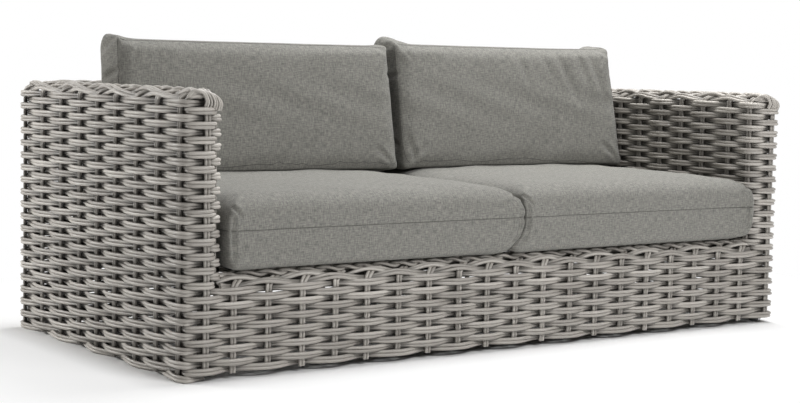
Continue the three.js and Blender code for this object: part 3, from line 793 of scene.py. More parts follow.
def edge_row(name, ring, counts, row, base, reach, slant, wave=0.0078, spread=0.0042):
    """One row on a rounded edge. Row numbers run on from the wall below, so the weave stays in step."""
    along = counts - float(lean_at(reach))
    out, up, way_out, way_up = curl(reach + slant * np.sin(math.pi * (along + row)))
    places, outward = ring.places(counts)
    height = base + up - (ring is upper) * corner_drop(places)
    return make_canes(name, row_tree, [np.column_stack([places + outward * out[:, None], height])], {
        "upright": along, "outward": np.column_stack([outward * way_out[:, None], way_up]),
        "rise": np.column_stack([-outward * way_up[:, None], way_out])}, {
        "First row": row, "Rows": 1, "Row pitch": 0.0, "Lowest edge": 0.0, "Wave depth": wave,
        "Half spread": spread, "First upright": -beyond_all, "Last upright": beyond_all,
        # The shade painted on the sunk canes of an edge row.
        "Seed": 500 + row, "Shade": 0.8})


first_edge_reach = 0.0088
all_round = upper.counts_between(0, upper.count, guide_step)
across_front = lower.counts_between(9, 29, guide_step)
across_front = across_front[np.abs(lower.places(across_front)[0][:, 0]) < 0.888]
for step, height_name, slant in ((0, "low", 0.0026), (1, "high", 0.0038)):
    reach = first_edge_reach + step * row_pitch
    edge_row(f"edge_row_{height_name}", upper, all_round, row_count + step, panel_top, reach, slant)
    edge_row(f"apron_edge_row_{height_name}", lower, across_front, apron_rows + step, apron_top, reach, slant)

# %% [markdown]
# At the foot of the outer walls one more row hangs below the weave and hides the rail. It runs round
# the sides and the back, and the front does without it.

# %% The hanging row
hanging_height = 0.0104
round_the_back = lower.counts_between(30, lower.count + 9, guide_step)
edge_row("hanging_row", lower, round_the_back, -1, hanging_height, 0.0, 0.0016, wave=0.0095, spread=0.0038)

# %% [markdown]
# The uprights come last, because they follow the curl too and end under the plait.

# %% Set the uprights
def set_uprights(name, ring, first, last, low, high, painted_shade):
    lines, labels = [], {"upright": [], "woven": [], "outward": [], "apart": []}
    for upright in range(first, last + 1):
        reach = np.concatenate([np.arange(low - high, -0.012, row_pitch / 2),
                                np.linspace(-0.010, upright_end, 13)])
        out, up, way_out, way_up = curl(reach)
        places, outward = ring.places(upright + lean_at(reach))
        height = high + up - (ring is upper) * corner_drop(places) * (reach > 0)
        line = np.column_stack([places + outward * out[:, None], height])
        way = np.column_stack([outward * way_out[:, None], way_up])
        lines.append(line)
        for label, values in (("upright", [upright] * len(line)), ("woven", reach < 0), ("outward", way),
                              ("apart", unit(np.cross(np.gradient(line, axis=0), way)))):
            labels[label] += list(values)
    return make_canes(name, upright_tree, lines, labels, {
        "Row pitch": row_pitch, "Lowest edge": weave_bottom, "Cane size": upright_size, "Seed": 40 + first,
        "Shade": painted_shade})


outer_foot, inner_foot, front_foot = 0.006, 0.236, 0.0145
# In the calls below, the last number is how much shade is painted on the woven part of the uprights.
for part, first, last, foot in (
        ("arm_outer_left", 0, 8, outer_foot), ("arm_inner_left", 10, 18, inner_foot),
        ("back_inner", 19, 37, inner_foot), ("arm_inner_right", 38, 46, inner_foot),
        ("arm_outer_right", 48, 56, outer_foot), ("back_outer", 57, 77, outer_foot)):
    set_uprights(f"uprights_{part}", upper, first, last, foot, panel_top, 0.62)
for side_name, number in (("left", 9), ("right", 47)):
    set_uprights(f"upright_arm_front_{side_name}", upper, number, number, front_foot, panel_top, 0.5)
set_uprights("uprights_apron", lower, 10, 28, front_foot, apron_top, 0.46)

# %% [markdown]
# ## The plaits
# The middle of each top edge is closed by a three-strand plait. Each strand is a cane, or on the broad
# back a flat ribbon of three, that wanders from one side of the edge to the other. The strands run
# a third of a turn apart, so at every crossing one lies over the other. A strand's height goes up and
# down twice while it crosses over and back once: that simple rule is what makes a plait.

# %% Geometry Nodes: plait
def make_plait_tree():
    tree, given, result, lines = open_cane_tree("plait", [
        ("Strands", INTEGER, 3), ("Canes per strand", INTEGER, 3), ("Repeat", FLOAT, 0.36),
        ("Cane spacing", FLOAT, 0.0086), ("Crown", FLOAT, 0.011), ("Lift", FLOAT, 0.0046),
        ("Sway", FLOAT, 0.0015)])
    lines = copied(tree, lines, given["Strands"], "share",
                   lambda number: tree.math("DIVIDE", number, given["Strands"]))
    middle = tree.product(tree.less(given["Canes per strand"], 1.0), 0.5)
    lines = copied(tree, lines, given["Canes per strand"], "offset", lambda number: tree.less(number, middle))

    share, offset, half = named(tree, "share"), named(tree, "offset"), named(tree, "half_width")
    turns = tree.total(tree.math("DIVIDE", named(tree, "distance"), given["Repeat"]), share)
    turn = tree.product(turns, 2 * math.pi)
    band = tree.product(given["Canes per strand"], given["Cane spacing"], 0.5)
    across = tree.total(tree.product(tree.math("SINE", turn), tree.less(half, band)),
                        tree.product(offset, given["Cane spacing"]))
    outward_share = tree.math("MINIMUM", tree.math("ABSOLUTE", tree.math("DIVIDE", across, half)), 1.0)
    fullness = tree.math("SQRT", tree.less(1.0, tree.math("POWER", outward_share, 2.0)))
    lift = tree.product(tree.math("SINE", tree.product(turn, 2.0)), given["Lift"], named(tree, "braided"))
    rise = tree.total(tree.product(fullness, given["Crown"]), lift)
    sway = wander(tree, 9.0, given["Sway"], W=tree.total(offset, tree.product(share, 9.0)))
    lines = pushed(tree, lines, ("across", tree.total(across, sway)), ("up", tree.total(rise, sway)))
    return finish_canes(tree, given, lines, result)


plait_tree = make_plait_tree()
print("tree:", plait_tree.name)

# %% [markdown]
# A plait follows a line of stops. Each stop gives a place and half the width of the edge there.

# %% Plait the edges
def path_points(stops, step):
    """Even points on a polyline given as rows of numbers, the first three of which are the place."""
    stops = np.array(stops, float)
    reach = reach_along(stops[:, :3])
    even = np.linspace(0, reach[-1], max(2, round(reach[-1] / step)))
    return even, sampled(stops, reach, even)


plait_step, plait_ends = 0.0095, 0.03  # near its ends a plait lies flat


def make_plait(name, node, stops, canes, repeat, crown):
    distance, table = path_points(stops, plait_step)
    line, half_width = table[:, :3], table[:, 3]
    travel = unit(np.gradient(line, axis=0))
    across = unit(np.cross(travel, (0.0, 0.0, 1.0)))
    braided = np.clip(np.minimum(distance, distance[-1] - distance) / plait_ends, 0, 1)
    return make_canes(name, plait_tree, [line], {
        "distance": distance, "half_width": half_width, "across": across, "up": np.cross(across, travel),
        "braided": braided}, {
        "Canes per strand": canes, "Repeat": repeat, "Crown": crown, "Seed": 70 + canes}, node)


arm_middle, back_middle, apron_middle = 0.925, 0.4025, -0.4290
plait_base, apron_plait_base = 0.6585, 0.2375
narrow, broad = 0.0155, 0.036  # half widths
for side_name, side in left_and_right:
    x = side * arm_middle
    stops = [(x, -0.452, 0.650, 0.013), (x, -0.440, 0.656, 0.0145), (x, -0.425, plait_base, narrow),
             (x, 0.430, plait_base, narrow)]
    make_plait(f"plait_canes_arm_{side_name}", f"plait_arm_{side_name}", stops, 1, 0.165, 0.0095)
make_plait("plait_canes_back", "plait_back", [
    (end * arm_middle, back_middle, plait_base, broad) for end in (-1, 1)], 3, 0.36, 0.011)
make_plait("plait_canes_apron", "plait_apron", [
    (end * 0.869, apron_middle, apron_plait_base, narrow) for end in (-1, 1)], 1, 0.165, 0.004)

# %% [markdown]
# At the front of each arm the last canes of the border fan out over the corner and are pushed down into
# the weave. They need no rule of their own, so their tree only sweeps the lines it is given. The lines
# leave the middle of the arm as one bundle. Each next one starts and ends a little further out, goes
# up over the edge and down in front of it, and strays a little from its neighbours by fixed dice.

# %% The fans
def make_loose_tree():
    tree, given, result, lines = open_cane_tree("loose_canes", [])
    return finish_canes(tree, given, lines, result)


loose_tree = make_loose_tree()


def smooth_through(stops, parts=4):
    """More points on a smooth line through the given rows of numbers."""
    rows = np.array(stops, float)
    padded = np.vstack([2 * rows[0] - rows[1], rows, 2 * rows[-1] - rows[-2]])
    result = []
    for a, b, c, d in zip(padded, padded[1:], padded[2:], padded[3:]):
        for t in np.arange(parts) / parts:
            result.append(0.5 * (2 * b + (c - a) * t + (2 * a - 5 * b + 4 * c - d) * t ** 2
                                 + (3 * b - a - 3 * c + d) * t ** 3))
    return np.array(result + [rows[-1]])


fan_canes, fan_size = 8, 0.0056
fan_dice = np.random.default_rng(23)


def fan_lines(corner_x, corner_radius):
    lines = []
    for index in range(fan_canes):
        share = index / (fan_canes - 1)
        stray_end, stray_high, stray_front = fan_dice.uniform(-1.0, 1.0, 3) * (0.0016, 0.0012, 0.0014)
        start = corner_x - 0.0930 + 0.0270 * share
        end = corner_x - 0.0560 + 0.0520 * share + stray_end
        low = 0.6565 - 0.0015 * share
        high = 0.6690 + 0.0030 * math.sin(2.2 * share) - 0.0160 * share ** 2 + stray_high
        foot = 0.6400 - 0.0100 * share + 0.5 * stray_end
        x = start + (end - start) * np.array((0.0, 0.14, 0.36, 0.62, 0.84, 0.96, 1.0, 0.985))
        rise = np.array((low - 0.004, low + 0.65 * (high - low), high, high - 0.0020, high - 0.0085,
                         0.4 * high + 0.6 * foot, foot + 0.004, foot - 0.008))
        depth = np.array((0.020, 0.014, 0.009, 0.0055, 0.0025, 0.0005, 0.0, 0.0060)) + abs(stray_front)
        turn = np.clip((x - corner_x + corner_radius) / corner_radius, 0, 0.96)
        front = corner_radius - half_depth - corner_radius * np.sqrt(1 - turn ** 2)
        lines.append(smooth_through(np.column_stack([x, front + depth, rise])))
    return lines


for side_name, corner_x, bend in (
        ("left", -arm_inside, front_bend), ("right", half_length + 0.003, outer_bend)):
    make_canes(f"fan_arm_front_{side_name}", loose_tree, fan_lines(corner_x, bend + crest), {},
               {"Seed": 5, "Cane size": fan_size})

# %% [markdown]
# ## The frame and the feet
# The tubes, the slats, the zips and the four glide feet are already the right shape, so they only get
# their finish.

# %% Finish the carried-over nodes
node_finishes = {"post_": frame_material, "rail_": frame_material, "seat_slat_": frame_material,
                 "foot_": foot_material, "_zip_slider_": metal_material, "_zip_": tape_material}
for name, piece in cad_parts.items():
    finish = next((material for part, material in node_finishes.items() if part in name), None)
    if finish:
        piece.data.materials.clear()
        piece.data.materials.append(finish)
print("feet:", [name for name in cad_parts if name.startswith("foot_")])

# %% [markdown]
# ## The cushions
# A cushion is a cloth cover over a soft filling: its faces swell, its edges draw in, and its corners
# stay out as soft ears. It could be sculpted by hand, but a cloth simulation gives those shapes
# for nothing. Each cover starts as a slightly small box of square patches. Its outline has corners
# of one radius, and its faces roll over into its sides.

# %% Start shape of a cover
def block_grid(cells):
    """Square patches over a closed box: the grid place of each point, the quads, and their UV."""
    index, quads, uvs = {}, [], []
    for axis in range(3):
        first, second = (axis + 1) % 3, (axis + 2) % 3
        for end in (0, 1):
            for a in range(cells[first]):
                for b in range(cells[second]):
                    ring = [(a, b), (a + 1, b), (a + 1, b + 1), (a, b + 1)]
                    if end == 0:
                        ring.reverse()
                    quad = []
                    for p, q in ring:
                        key = [0, 0, 0]
                        key[axis], key[first], key[second] = end * cells[axis], p, q
                        quad.append(index.setdefault(tuple(key), len(index)))
                        x, y, z = key
                        uvs.append(((y, z), (x, z), (x, y))[axis])
                    quads.append(quad)
    return np.array(list(index)), quads, np.array(uvs)


cushion_corner = 0.014


def cushion_block(size, cells, roll_over, roll_under, roll_top):
    """A cushion lying flat, with its own radius for the roll at the top, underneath and at its far side."""
    keys, quads, uvs = block_grid(cells)
    half = np.array(size) / 2
    flat = (keys / cells * 2 - 1) * half
    sign = np.sign(flat[:, :2])
    straight = half[:2] - cushion_corner
    beyond = np.abs(flat[:, :2]) - straight
    squeezed = beyond * np.sqrt(1 - beyond[:, ::-1] ** 2 / (2 * cushion_corner ** 2))
    beyond = np.where((beyond > 0).all(axis=1)[:, None], squeezed, beyond)
    reach = np.linalg.norm(np.maximum(beyond, 0), axis=1)
    nearest_side = beyond == beyond.max(axis=1, keepdims=True)
    way_out = np.maximum(beyond, 0) / np.maximum(reach, 1e-9)[:, None]
    way_out = np.where((reach > 0)[:, None], way_out, nearest_side) * sign
    depth = cushion_corner - np.where(reach > 0, reach, beyond.max(axis=1))
    plan = sign * (straight + beyond)
    upper_half = flat[:, 2] > 0
    roll = np.where(upper_half, roll_over, roll_under)
    roll = roll + (roll_top - roll_over) * np.clip(way_out[:, 1], 0, 1) ** 2 * upper_half
    run = np.abs(flat[:, 2]) - half[2] + roll + depth
    rolled = (run > 0) & (depth < roll)
    angle = np.clip(run / (2 * roll), 0, 1) * math.pi / 2
    edge = plan + way_out * (depth - roll * (1 - np.cos(angle)))[:, None]
    height = np.where(rolled, half[2] - roll + roll * np.sin(angle), np.abs(flat[:, 2]))
    points = np.column_stack([np.where(rolled[:, None], edge, plan), np.sign(flat[:, 2]) * height])
    return points, quads, uvs * (np.array(size) / cells).mean()


def cloth_object(name, points, quads, uvs):
    mesh = bpy.data.meshes.new(name)
    mesh.from_pydata([tuple(p) for p in points], [], quads)
    layer = mesh.uv_layers.new(name="cloth")
    layer.data.foreach_set("uv", uvs.astype(np.float32).ravel())
    mesh.polygons.foreach_set("use_smooth", [True] * len(quads))
    return add_object(name, mesh)


print("cloth block ready")

# %% [markdown]
# The cloth is a little too large for its box, and a gentle pressure fills it out. How far a point may
# move is capped, so that a cushion keeps its size. Afterwards every patch is split in four.

# %% Blow up the covers
pressure, growth = 4.0, 0.008
frames_run, longest_move = 20, 0.008


def add_cloth(piece):
    cloth = piece.modifiers.new("cloth", "CLOTH")
    settings = cloth.settings
    settings.quality = 5
    settings.mass = 0.3
    settings.tension_stiffness = settings.compression_stiffness = 15
    settings.shear_stiffness = 8
    settings.bending_stiffness = 0.4
    settings.use_pressure = True
    settings.uniform_pressure_force = pressure
    settings.effector_weights.gravity = 0
    settings.shrink_min = -growth
    cloth.collision_settings.use_collision = False
    cloth.point_cache.frame_start, cloth.point_cache.frame_end = 1, 30


def mesh_points(mesh):
    flat = np.empty(len(mesh.vertices) * 3, np.float32)
    mesh.vertices.foreach_get("co", flat)
    return flat.reshape(-1, 3).astype(float)


def set_points(mesh, points):
    mesh.vertices.foreach_set("co", points.astype(np.float32).ravel())
    mesh.update()


def inflate(pieces):
    """Runs the cloth of all the pieces together and applies it, with each point's move capped."""
    scene = bpy.context.scene
    for number in range(1, frames_run + 1):
        scene.frame_set(number)
        bpy.context.view_layer.update()
    graph = bpy.context.evaluated_depsgraph_get()
    blown_up = [mesh_points(piece.evaluated_get(graph).data) for piece in pieces]
    for piece, moved in zip(pieces, blown_up):
        piece.modifiers.clear()
        start = mesh_points(piece.data)
        shift = moved - start
        length = np.linalg.norm(shift, axis=1)
        share = longest_move / (longest_move ** 4 + length ** 4) ** 0.25
        set_points(piece.data, start + shift * share[:, None])
    scene.frame_set(1)


def refine(piece):
    """Splits every quad in four, so that the small folds and seams have points to form in."""
    subdivide = piece.modifiers.new("smooth", "SUBSURF")
    subdivide.levels = subdivide.render_levels = 1
    finer = plain_mesh(piece)
    piece.modifiers.clear()
    piece.data = finer


seat_size, seat_cells = (0.850, 0.778, 0.180), (70, 64, 16)
back_size, back_cells = (0.840, 0.370, 0.180), (70, 32, 16)
covers = {}
for side_name, side in left_and_right:
    seat = cushion_block(seat_size, seat_cells, 0.042, 0.015, 0.042)
    back = cushion_block(back_size, back_cells, 0.013, 0.050, 0.034)
    for kind, (points, quads, uvs) in (("seat", seat), ("back", back)):
        if kind == "back":  # stood up, with its face to the front
            points = points[:, [0, 2, 1]] * (1, -1, 1)
        piece = covers[kind, side_name] = cloth_object(f"{kind}_cushion_{side_name}", points, quads, uvs)
        add_cloth(piece)
inflate(list(covers.values()))
for piece in covers.values():
    piece.modifiers.clear()
for piece in covers.values():
    refine(piece)
    print(piece.name, "half size", np.round(np.abs(mesh_points(piece.data)).max(axis=0), 4))

# %% [markdown]
# The blown-up covers still lack what sewing and use do to a real cushion. The seam is drawn in, the
# corners of the back cushions stand up as ears, the cloth puckers beside them, and soft creases
# run from the edges. These are small moves of the points, each with a width and a depth. In the
# formulas a place on a cushion goes from -1 to 1 along each of its three sizes.

# %% Moves of the cloth
front_face, top_face = (1, -1), (2, 1)  # the axis and the sign of a face
end_face = None  # the axis is x, and the sign that of the end


def bell(distance, width):
    return np.exp(-(distance / width) ** 2)


def upward(share, power=1):
    """Nothing below 0, and rising to 1."""
    return np.clip(share, 0, 1) ** power


def crease(points, face, start, end, width, depth):
    """Presses a soft line into one face. Start and end are places on that face."""
    axis, sign = face
    others = [i for i in range(3) if i != axis]
    a, b = np.array(start), np.array(end)
    flat = points[:, others]
    share = np.clip((flat - a) @ (b - a) / ((b - a) @ (b - a)), 0, 1)
    gap = np.linalg.norm(flat - (a + share[:, None] * (b - a)), axis=1)
    faced = upward(sign * points[:, axis] / np.abs(points[:, axis]).max(), 4)
    profile = bell(gap, width) - 0.45 * bell(gap - 1.9 * width, width)
    points[:, axis] -= sign * depth * profile * np.sin(math.pi * np.clip(0.12 + 0.76 * share, 0, 1)) * faced


def crease_ends(points, half_x, creases):
    """Presses creases in near both ends. On the front and the top, x is measured inward from the end."""
    for end in (-1, 1):
        for face, start, stop, width, depth in creases:
            if face:
                start, stop = ((end * (half_x - inward), other) for inward, other in (start, stop))
            crease(points, face or (0, end), start, stop, width, depth)


def draw_in(points, axis, place, width, depth):
    """Pulls the belt of the cushion near one height towards its middle line."""
    near = bell(points[:, axis] - place, width)
    for other in (i for i in range(3) if i != axis):
        half = np.abs(points[:, other]).max()
        edge = upward(np.abs(points[:, other]) / half, 24)
        points[:, other] -= np.sign(points[:, other]) * depth * near * edge


def fitted(points, half):
    return points * (half / np.abs(points).max(axis=0))


def ripple(points, first, second, height):
    """A slow unevenness, as cloth over a soft filling has."""
    a, b = points[:, first], points[:, second]
    return height * (np.sin(23 * a + 4 * np.sin(17 * b)) * np.sin(19 * b + 1.3)
                     + 0.6 * np.sin(41 * a - 29 * b))


print("moves of the cloth are ready")

# %% [markdown]
# A seat cushion stands a little higher in its middle. Its seam runs round its sides, and it creases
# where its front meets its ends.

# %% Shape a seat cushion
seat_half = np.array((0.4265, 0.3955, 0.0915))
seat_crown = 0.0125  # how much higher the middle of the top is
seam_height = 0.008  # of the seam, above the middle of a seat cushion's sides
seat_creases = (
    (front_face, (0.004, 0.074), (0.032, 0.044), 0.0055, 0.0110),
    (front_face, (0.012, 0.046), (0.015, -0.060), 0.0050, 0.0095),
    (front_face, (0.006, -0.060), (0.036, -0.036), 0.0070, 0.0045),
    (top_face, (0.010, -0.380), (0.050, -0.330), 0.0080, 0.0050))


def shape_seat(points, side):
    points = fitted(points, seat_half)
    u, v, w = (points / seat_half).T
    top = upward(w)
    points[:, 2] += seat_crown * (1 - np.abs(u) ** 3.2) * (1 - np.abs(v) ** 3.2) * top
    points[:, 2] -= 0.014 * top * upward(np.abs(u), 12)  # the top slopes off at both ends
    points[:, 2] += ripple(points, 0, 1, 0.0012) * top
    points[:, 1] += ripple(points, 0, 2, 0.0012) * upward(-v, 6)
    outer = upward(side * u, 8)
    points[:, 0] -= side * outer * (0.012 * upward(w - 0.3) + 0.016 * upward(-w - 0.1, 2))
    if side > 0:  # its free front corner is pushed forward past the arm and up a little
        corner = outer * upward(-v, 3)
        underneath = corner * upward(-w - 0.5)
        points[:, 1] -= 0.020 * corner
        points[:, 0] += 0.016 * corner * (1 - 0.5 * np.abs(w)) - 0.030 * underneath
        points[:, 2] += 0.020 * underneath
    draw_in(points, 2, seam_height, 0.0060, 0.0028)
    crease_ends(points, seat_half[0], seat_creases)
    return points


print("seat cushion half size in m:", seat_half)

# %% [markdown]
# The two back cushions are not alike. The left one is drawn in at its upper outer corner, and the
# right one stands further forward at its outer end. Their ears differ in height and width, and each
# has fine creases of its own: on the right one a row of them runs down from the top seam.

# %% Shape a back cushion
# -1 is the left cushion and 1 the right one, and so are the ends of each.
back_halves = {-1: np.array((0.4365, 0.0950, 0.1805)), 1: np.array((0.4165, 0.0950, 0.1840))}
low_flare = {-1: 0.010, 1: 0.018}  # how far the lower right corner stands out
ears = {-1: ((-1, 0.034, 0.044, 2.2), (1, 0.006, 0.030, 1.6)),  # end, height, width, power
        1: ((-1, 0.030, 0.060, 5.0), (1, 0.034, 0.028, 1.6))}
# A crease is a face, a start, a stop, a width and a depth. The fine ones are all on the front.
back_creases = (
    (front_face, (0.012, 0.150), (0.060, 0.178), 0.0075, 0.0060),
    (front_face, (0.010, 0.178), (0.055, 0.120), 0.0080, 0.0040),
    (end_face, (-0.060, 0.172), (0.030, 0.150), 0.0090, 0.0080),
    (end_face, (-0.085, 0.088), (0.020, 0.074), 0.0080, 0.0070),
    (end_face, (-0.060, -0.110), (0.010, -0.095), 0.0080, 0.0060),
    (front_face, (0.012, -0.168), (0.075, -0.115), 0.0080, 0.0055))
fine_creases = {
    -1: (((0.02, -0.175), (0.06, -0.095), 0.009, 0.0026), ((0.10, -0.175), (0.155, -0.065), 0.009, 0.0038),
         ((0.22, -0.175), (0.285, -0.045), 0.009, 0.0034), ((0.30, -0.175), (0.34, -0.095), 0.009, 0.0030),
         ((-0.36, 0.178), (-0.384, 0.098), 0.009, 0.0036), ((-0.30, 0.178), (-0.318, 0.118), 0.009, 0.0024)),
    1: (((-0.10, 0.176), (-0.079, 0.106), 0.012, 0.0018), ((0.02, 0.176), (0.0746, 0.046), 0.013, 0.0028),
        ((0.11, 0.176), (0.1595, 0.086), 0.011, 0.0024), ((0.175, 0.176), (0.26, 0.006), 0.014, 0.0042),
        ((0.26, 0.176), (0.3056, 0.056), 0.012, 0.0034), ((0.315, 0.176), (0.366, 0.006), 0.014, 0.0040),
        ((0.16, -0.05), (0.13, -0.175), 0.013, 0.0042), ((-0.397, -0.08), (-0.368, -0.182), 0.009, 0.0080))}


def shape_back(points, side):
    half = back_halves[side]
    points = fitted(points, half)
    u, t, w = (points / half).T
    face, rear = upward(-t, 2), upward(t)
    belly = (1 - np.abs(u) ** 4) * (1 - np.abs(w) ** 4)
    points[:, 1] -= 0.006 * belly * face
    points[:, 1] += 0.010 * belly * rear ** 2
    points[:, 0] -= np.sign(u) * 0.034 * rear ** 1.6 * np.abs(u) ** 6
    points[:, 2] -= 0.016 * rear ** 2 * upward(w, 6)
    points[:, 1] += ripple(points, 0, 2, 0.0014) * face
    points[:, 0] += low_flare[side] * upward(u, 8) * (0.5 - 0.5 * w)
    if side < 0:
        points[:, 0] += 0.015 * upward(-u, 6) * upward(0.2 + 0.8 * w)
    else:
        points[:, 1] -= 0.020 * upward(u, 2) * upward(-t) * (0.8 - 0.2 * w)
    at_seam = bell(points[:, 1] - 0.010, 0.055)
    for end, height, width, power in ears[side]:
        from_end = np.abs(points[:, 0] - end * half[0])
        points[:, 2] += height * np.exp(-(from_end / width) ** power) * upward(w, 8) * (0.15 + 0.85 * at_seam)
    crease_ends(points, half[0], back_creases)
    for start, stop, width, depth in fine_creases[side]:
        crease(points, front_face, start, stop, width, depth)
    return points


print("fine creases:", {side: len(creases) for side, creases in fine_creases.items()})

# %% [markdown]
# Now the covers go to their places. The rear of each is held just behind its zip, the back cushions
# are tipped back, the seat cushions meet in a soft line in the middle, and no cushion reaches into
# the weave. The solid model says where the zips are.

# %% Places of the covers
back_lean = math.radians(10)
seat_middle = np.array((0.4345, -0.0783, 0.3381))
back_middles = {-1: np.array((-0.4265, 0.2020, 0.6095)), 1: np.array((0.4435, 0.2020, 0.6135))}
seat_underside = 0.2468
side_reach, rear_reach = 0.8685, 0.3262  # how far a cushion may reach, just short of the weave
back_top = 0.69  # above this the back cushions may swell over the sofa's back
weave_front = -0.476  # in front of this a corner may swell past the arm
zip_proud, zip_margin = 0.001, 0.016  # how far a zip stands out, and the flat cloth round it


def smooth_step(share):
    return share * share * (3 - 2 * share)


def hold_zip(points, zip_points, slope):
    """Keeps the rear of a cover just behind the face of its zip, so that the zip lies on the cloth."""
    low, high = zip_points.min(axis=0), zip_points.max(axis=0)
    middle = (low + high) / 2
    face = high[1] - slope * (high[2] - middle[2]) - zip_proud
    near = np.ones(len(points))
    for axis in (0, 2):
        outside = np.maximum(low[axis] - points[:, axis], points[:, axis] - high[axis])
        near *= np.clip(1 - np.maximum(outside - zip_margin, 0) / 0.05, 0, 1)
    near = smooth_step(near) * (points[:, 1] > middle[1] - 0.05)
    points[:, 1] += near * (face + slope * (points[:, 2] - middle[2]) - points[:, 1])
    return points


def leant_back(points, half):
    """Tips a cushion back about its middle. Its base stays level, because its weight lies on it."""
    x, y, z = points.T
    share = smooth_step(np.clip((z + half[2]) / (1.4 * half[2]), 0, 1))
    return np.column_stack([x, y * math.cos(back_lean) + z * math.sin(back_lean),
                            z * math.cos(back_lean) - y * math.sin(back_lean) * share])


def seat_joint(points):
    """The x at which the seat cushions meet. At the front their soft corners push it about."""
    x, y, z = points.T
    front = upward((-0.36 - y) / 0.08)
    slack = 0.075 * upward((0.335 - z) / 0.085, 2) + 0.030 * upward((z - 0.365) / 0.065)
    return 0.010 + front * (0.016 - slack) + 0.0088 * upward(y / 0.06)


def place_seat(points, side, zip_points):
    points = hold_zip(shape_seat(points, side) + seat_middle * (side, 1, 1), zip_points, 0.0)
    points[:, 2] = np.maximum(points[:, 2], seat_underside)
    meeting = seat_joint(points)
    if side > 0:
        meeting = np.maximum(meeting + 0.001, -0.014)
    edge = side * (seat_middle[0] - seat_half[0])
    near = upward(1 - np.abs(points[:, 0] - edge) / 0.13, 2)
    points[:, 0] += near * (meeting - side * 0.001 - edge)
    reach = side_reach + 0.016 * upward((weave_front - points[:, 1]) / 0.010)
    low, high = (meeting, reach) if side > 0 else (-reach, meeting - 0.001)
    points[:, 0] = np.clip(points[:, 0], low, high)
    return points


def place_back(points, side, zip_points):
    points = leant_back(shape_back(points, side), back_halves[side]) + back_middles[side]
    points = hold_zip(points, zip_points, math.tan(back_lean))
    points[:, 0] = np.clip(points[:, 0], -side_reach, side_reach)
    low = points[:, 2] < back_top
    points[low, 1] = np.minimum(points[low, 1], rear_reach)
    return points


print("the seat cushions meet near x =", seat_joint(np.array([(0.0, 0.0, 0.35)]))[0])

# %% [markdown]
# The lower edges of the back cushions are draped: where one would sink into its seat cushion, it is
# lifted onto it. Then each cover gets its cloth and says what it moves with and what it stands for.

# %% Place the covers
def surface_of(piece):
    return BVHTree.FromObject(piece, bpy.context.evaluated_depsgraph_get())


def drape(points, seat_top):
    for index in np.nonzero(points[:, 2] < 0.50)[0]:
        x, y, z = points[index]
        inward = x - math.copysign(min(0.012, abs(x)), x)
        hit = seat_top.ray_cast(Vector((inward, y, 1.0)), Vector((0, 0, -1)))[0]
        if hit:
            points[index, 2] = max(z, hit.z + 0.0012)


place_cover = {"seat": place_seat, "back": place_back}
for (kind, side_name), piece in covers.items():
    zip_points = mesh_points(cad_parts[f"{kind}_cushion_zip_{side_name}"].data)
    points = place_cover[kind](mesh_points(piece.data), dict(left_and_right)[side_name], zip_points)
    set_points(piece.data, points)
for (kind, side_name), piece in covers.items():
    points = mesh_points(piece.data)
    if kind == "back":
        drape(points, surface_of(covers["seat", side_name]))
        set_points(piece.data, points)
    piece.data.materials.append(cloth_material)
    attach(piece, f"{kind}_cushion_{side_name}")
    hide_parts(f"{kind}_cushion_cover_{side_name}", f"{kind}_cushion_core_{side_name}")
    print(piece.name, "from", np.round(points.min(axis=0), 4), "to", np.round(points.max(axis=0), 4))

# %% [markdown]
# Where two panels of a cover are sewn together, the folded cloth shows as a thin rolled edge. Its
# dark colour is painted shade, for the shaded groove along the seam. On the seat cushions it runs
# round the middle, and on the back cushions round the front panel. Rays cast at the cover from
# outside find the line on which it lies.

# %% Seams
seam_size, seam_step = 0.0017, 0.008
back_seam, back_seam_forward = -0.076, 0.0186  # in front of the cushion's middle, and more at its foot


def seam_line(piece, outline, centre):
    """The closed line on which rays from just outside an outline towards the centre meet the cover."""
    surface = surface_of(piece)
    line = []
    for place in outline:
        away = Vector(place) - Vector(centre)
        hit = surface.ray_cast(Vector(centre) + 1.2 * away, -away)[0]
        if hit:
            line.append(hit)
    return np.array(line + line[:1])


def box_outline(half_u, half_v):
    """Even points round a rectangle about the origin, as two columns."""
    corners = [(-half_u, -half_v, 0), (half_u, -half_v, 0), (half_u, half_v, 0), (-half_u, half_v, 0),
               (-half_u, -half_v, 0)]
    return path_points(corners, seam_step)[1][:-1, :2]


def seam_outline(kind, side):
    """The outline of a seam before it is laid on the cover, and the point from which it is seen."""
    if kind == "seat":
        centre = seat_middle * (side, 1, 1) + (0, 0, seam_height)
        flat = box_outline(seat_half[0], seat_half[1])
        return np.column_stack([flat, np.zeros(len(flat))]) + centre, centre
    half = back_halves[side]
    flat = box_outline(half[0], half[2])
    forward = back_seam_forward * upward(-flat[:, 1] / half[2], 4)
    front = np.column_stack([flat[:, 0], back_seam - forward, flat[:, 1]])
    return leant_back(front, half) + back_middles[side], back_middles[side] + (0.0, back_seam, 0.0)


for (kind, side_name), piece in covers.items():
    line = seam_line(piece, *seam_outline(kind, dict(left_and_right)[side_name]))
    name = f"seam_{kind}_cushion_{side_name}"
    seam = run_tree(name, make_guide(name, [line], {}), loose_tree,
                    {"Cane size": seam_size, "Sides": 6, "Seed": 9, "Material": painted_shade_seam_material})
    settle(seam, f"{kind}_cushion_{side_name}", "cushion_fabric")

# %% [markdown]
# ## The room
# The sofa stands on a plain white floor under soft light. The floor keeps the sofa's shadow near by
# and turns into pure white further out, so no horizon shows.

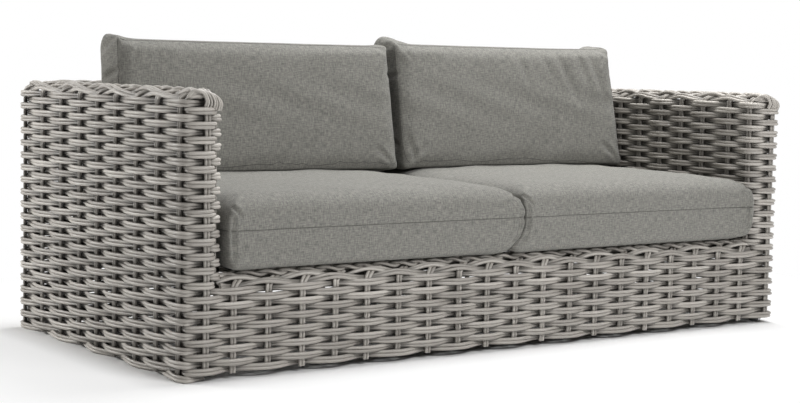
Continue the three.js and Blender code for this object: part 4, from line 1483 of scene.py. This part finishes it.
# %% Floor and background
floor_half = 30.0
floor_mesh = bpy.data.meshes.new("floor")
floor_mesh.from_pydata([(x * floor_half, y * floor_half, 0) for x, y in ((-1, -1), (1, -1), (1, 1), (-1, 1))],
                       [], [(0, 1, 2, 3)])
floor = add_object("floor", floor_mesh)
floor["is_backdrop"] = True

floor_material, tree, shader, _ = open_material(
    "white_floor", None, Base_Color=(0.92, 0.92, 0.92, 1), Roughness=0.95, Specular_IOR_Level=0.0)
place = tree.split(tree.node("ShaderNodeTexCoord").outputs["Object"])
beyond = [tree.math("MAXIMUM", tree.less(tree.math("ABSOLUTE", place[axis]), half), 0.0)
          for axis, half in ((0, half_length), (1, half_depth))]
distance = tree.math("SQRT", tree.total(*(tree.math("POWER", gap, 2.0) for gap in beyond)))
lifted = tree.total(tree.spread(distance, 0.0, 0.10, 0.0, 0.55), tree.spread(distance, 0.06, 0.9, 0.0, 0.45))
faded = tree.product(lifted, tree.node("ShaderNodeLightPath").outputs["Is Camera Ray"])
white = tree.node("ShaderNodeEmission", {"Color": (1, 1, 1, 1), "Strength": 1.0}).outputs[0]
mix = tree.node("ShaderNodeMixShader", {0: faded, 1: shader.outputs[0], 2: white})
tree.link(next(node for node in tree.tree.nodes if node.type == "OUTPUT_MATERIAL"), Surface=mix.outputs[0])
floor_mesh.materials.append(floor_material)

world = bpy.data.worlds.new("studio")
bpy.context.scene.world = world
world.use_nodes = True
world.node_tree.nodes.clear()
sky = Tree(world.node_tree)
rays = sky.node("ShaderNodeLightPath").outputs
shown = sky.math("MAXIMUM", rays["Is Camera Ray"],
                 sky.math("MAXIMUM", rays["Is Glossy Ray"], rays["Is Transmission Ray"]))
ambient = sky.node("ShaderNodeBackground", {"Color": (0.98, 0.99, 1.0, 1), "Strength": 0.11})
backdrop = sky.node("ShaderNodeBackground", {"Color": (1, 1, 1, 1), "Strength": 1.0})
both = sky.node("ShaderNodeMixShader", {0: shown, 1: ambient.outputs[0], 2: backdrop.outputs[0]})
sky.node("ShaderNodeOutputWorld", {0: both.outputs[0]})
print("floor and background ready")

# %% [markdown]
# Three softboxes light the sofa: a large one above, a large one in front and above, and a small warm one
# behind its left end.

# %% Lamps
def add_softbox(name, place, target, size, power, colour=(1, 1, 1)):
    data = bpy.data.lights.new(name, "AREA")
    data.shape = "RECTANGLE"
    data.size, data.size_y = size
    data.energy = power
    data.color = colour
    lamp = add_object(name, data)
    lamp.location = place
    lamp.rotation_mode = "QUATERNION"
    lamp.rotation_quaternion = (Vector(target) - Vector(place)).to_track_quat("-Z", "Y")


add_softbox("top_softbox", (1.0, 0.2, 3.2), (0.1, -0.05, 0.3), (2.2, 1.5), 130)
add_softbox("left_softbox", (-3.0, 2.3, 1.5), (-0.9, 0, 0.3), (1.2, 0.9), 81, (1.0, 0.99, 0.97))
add_softbox("front_softbox", (0.2, -3.8, 2.8), (0, -0.3, 0.3), (2.2, 1.5), 115)

scene = bpy.context.scene
scene.view_settings.view_transform = "Standard"

# %% [markdown]
# ## Closing
# The count of triangles in all the shown pieces is printed.

# %% Triangles in all
total_triangles = sum(count_triangles(piece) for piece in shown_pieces() if piece.type == "MESH")
print("triangles in all:", total_triangles)
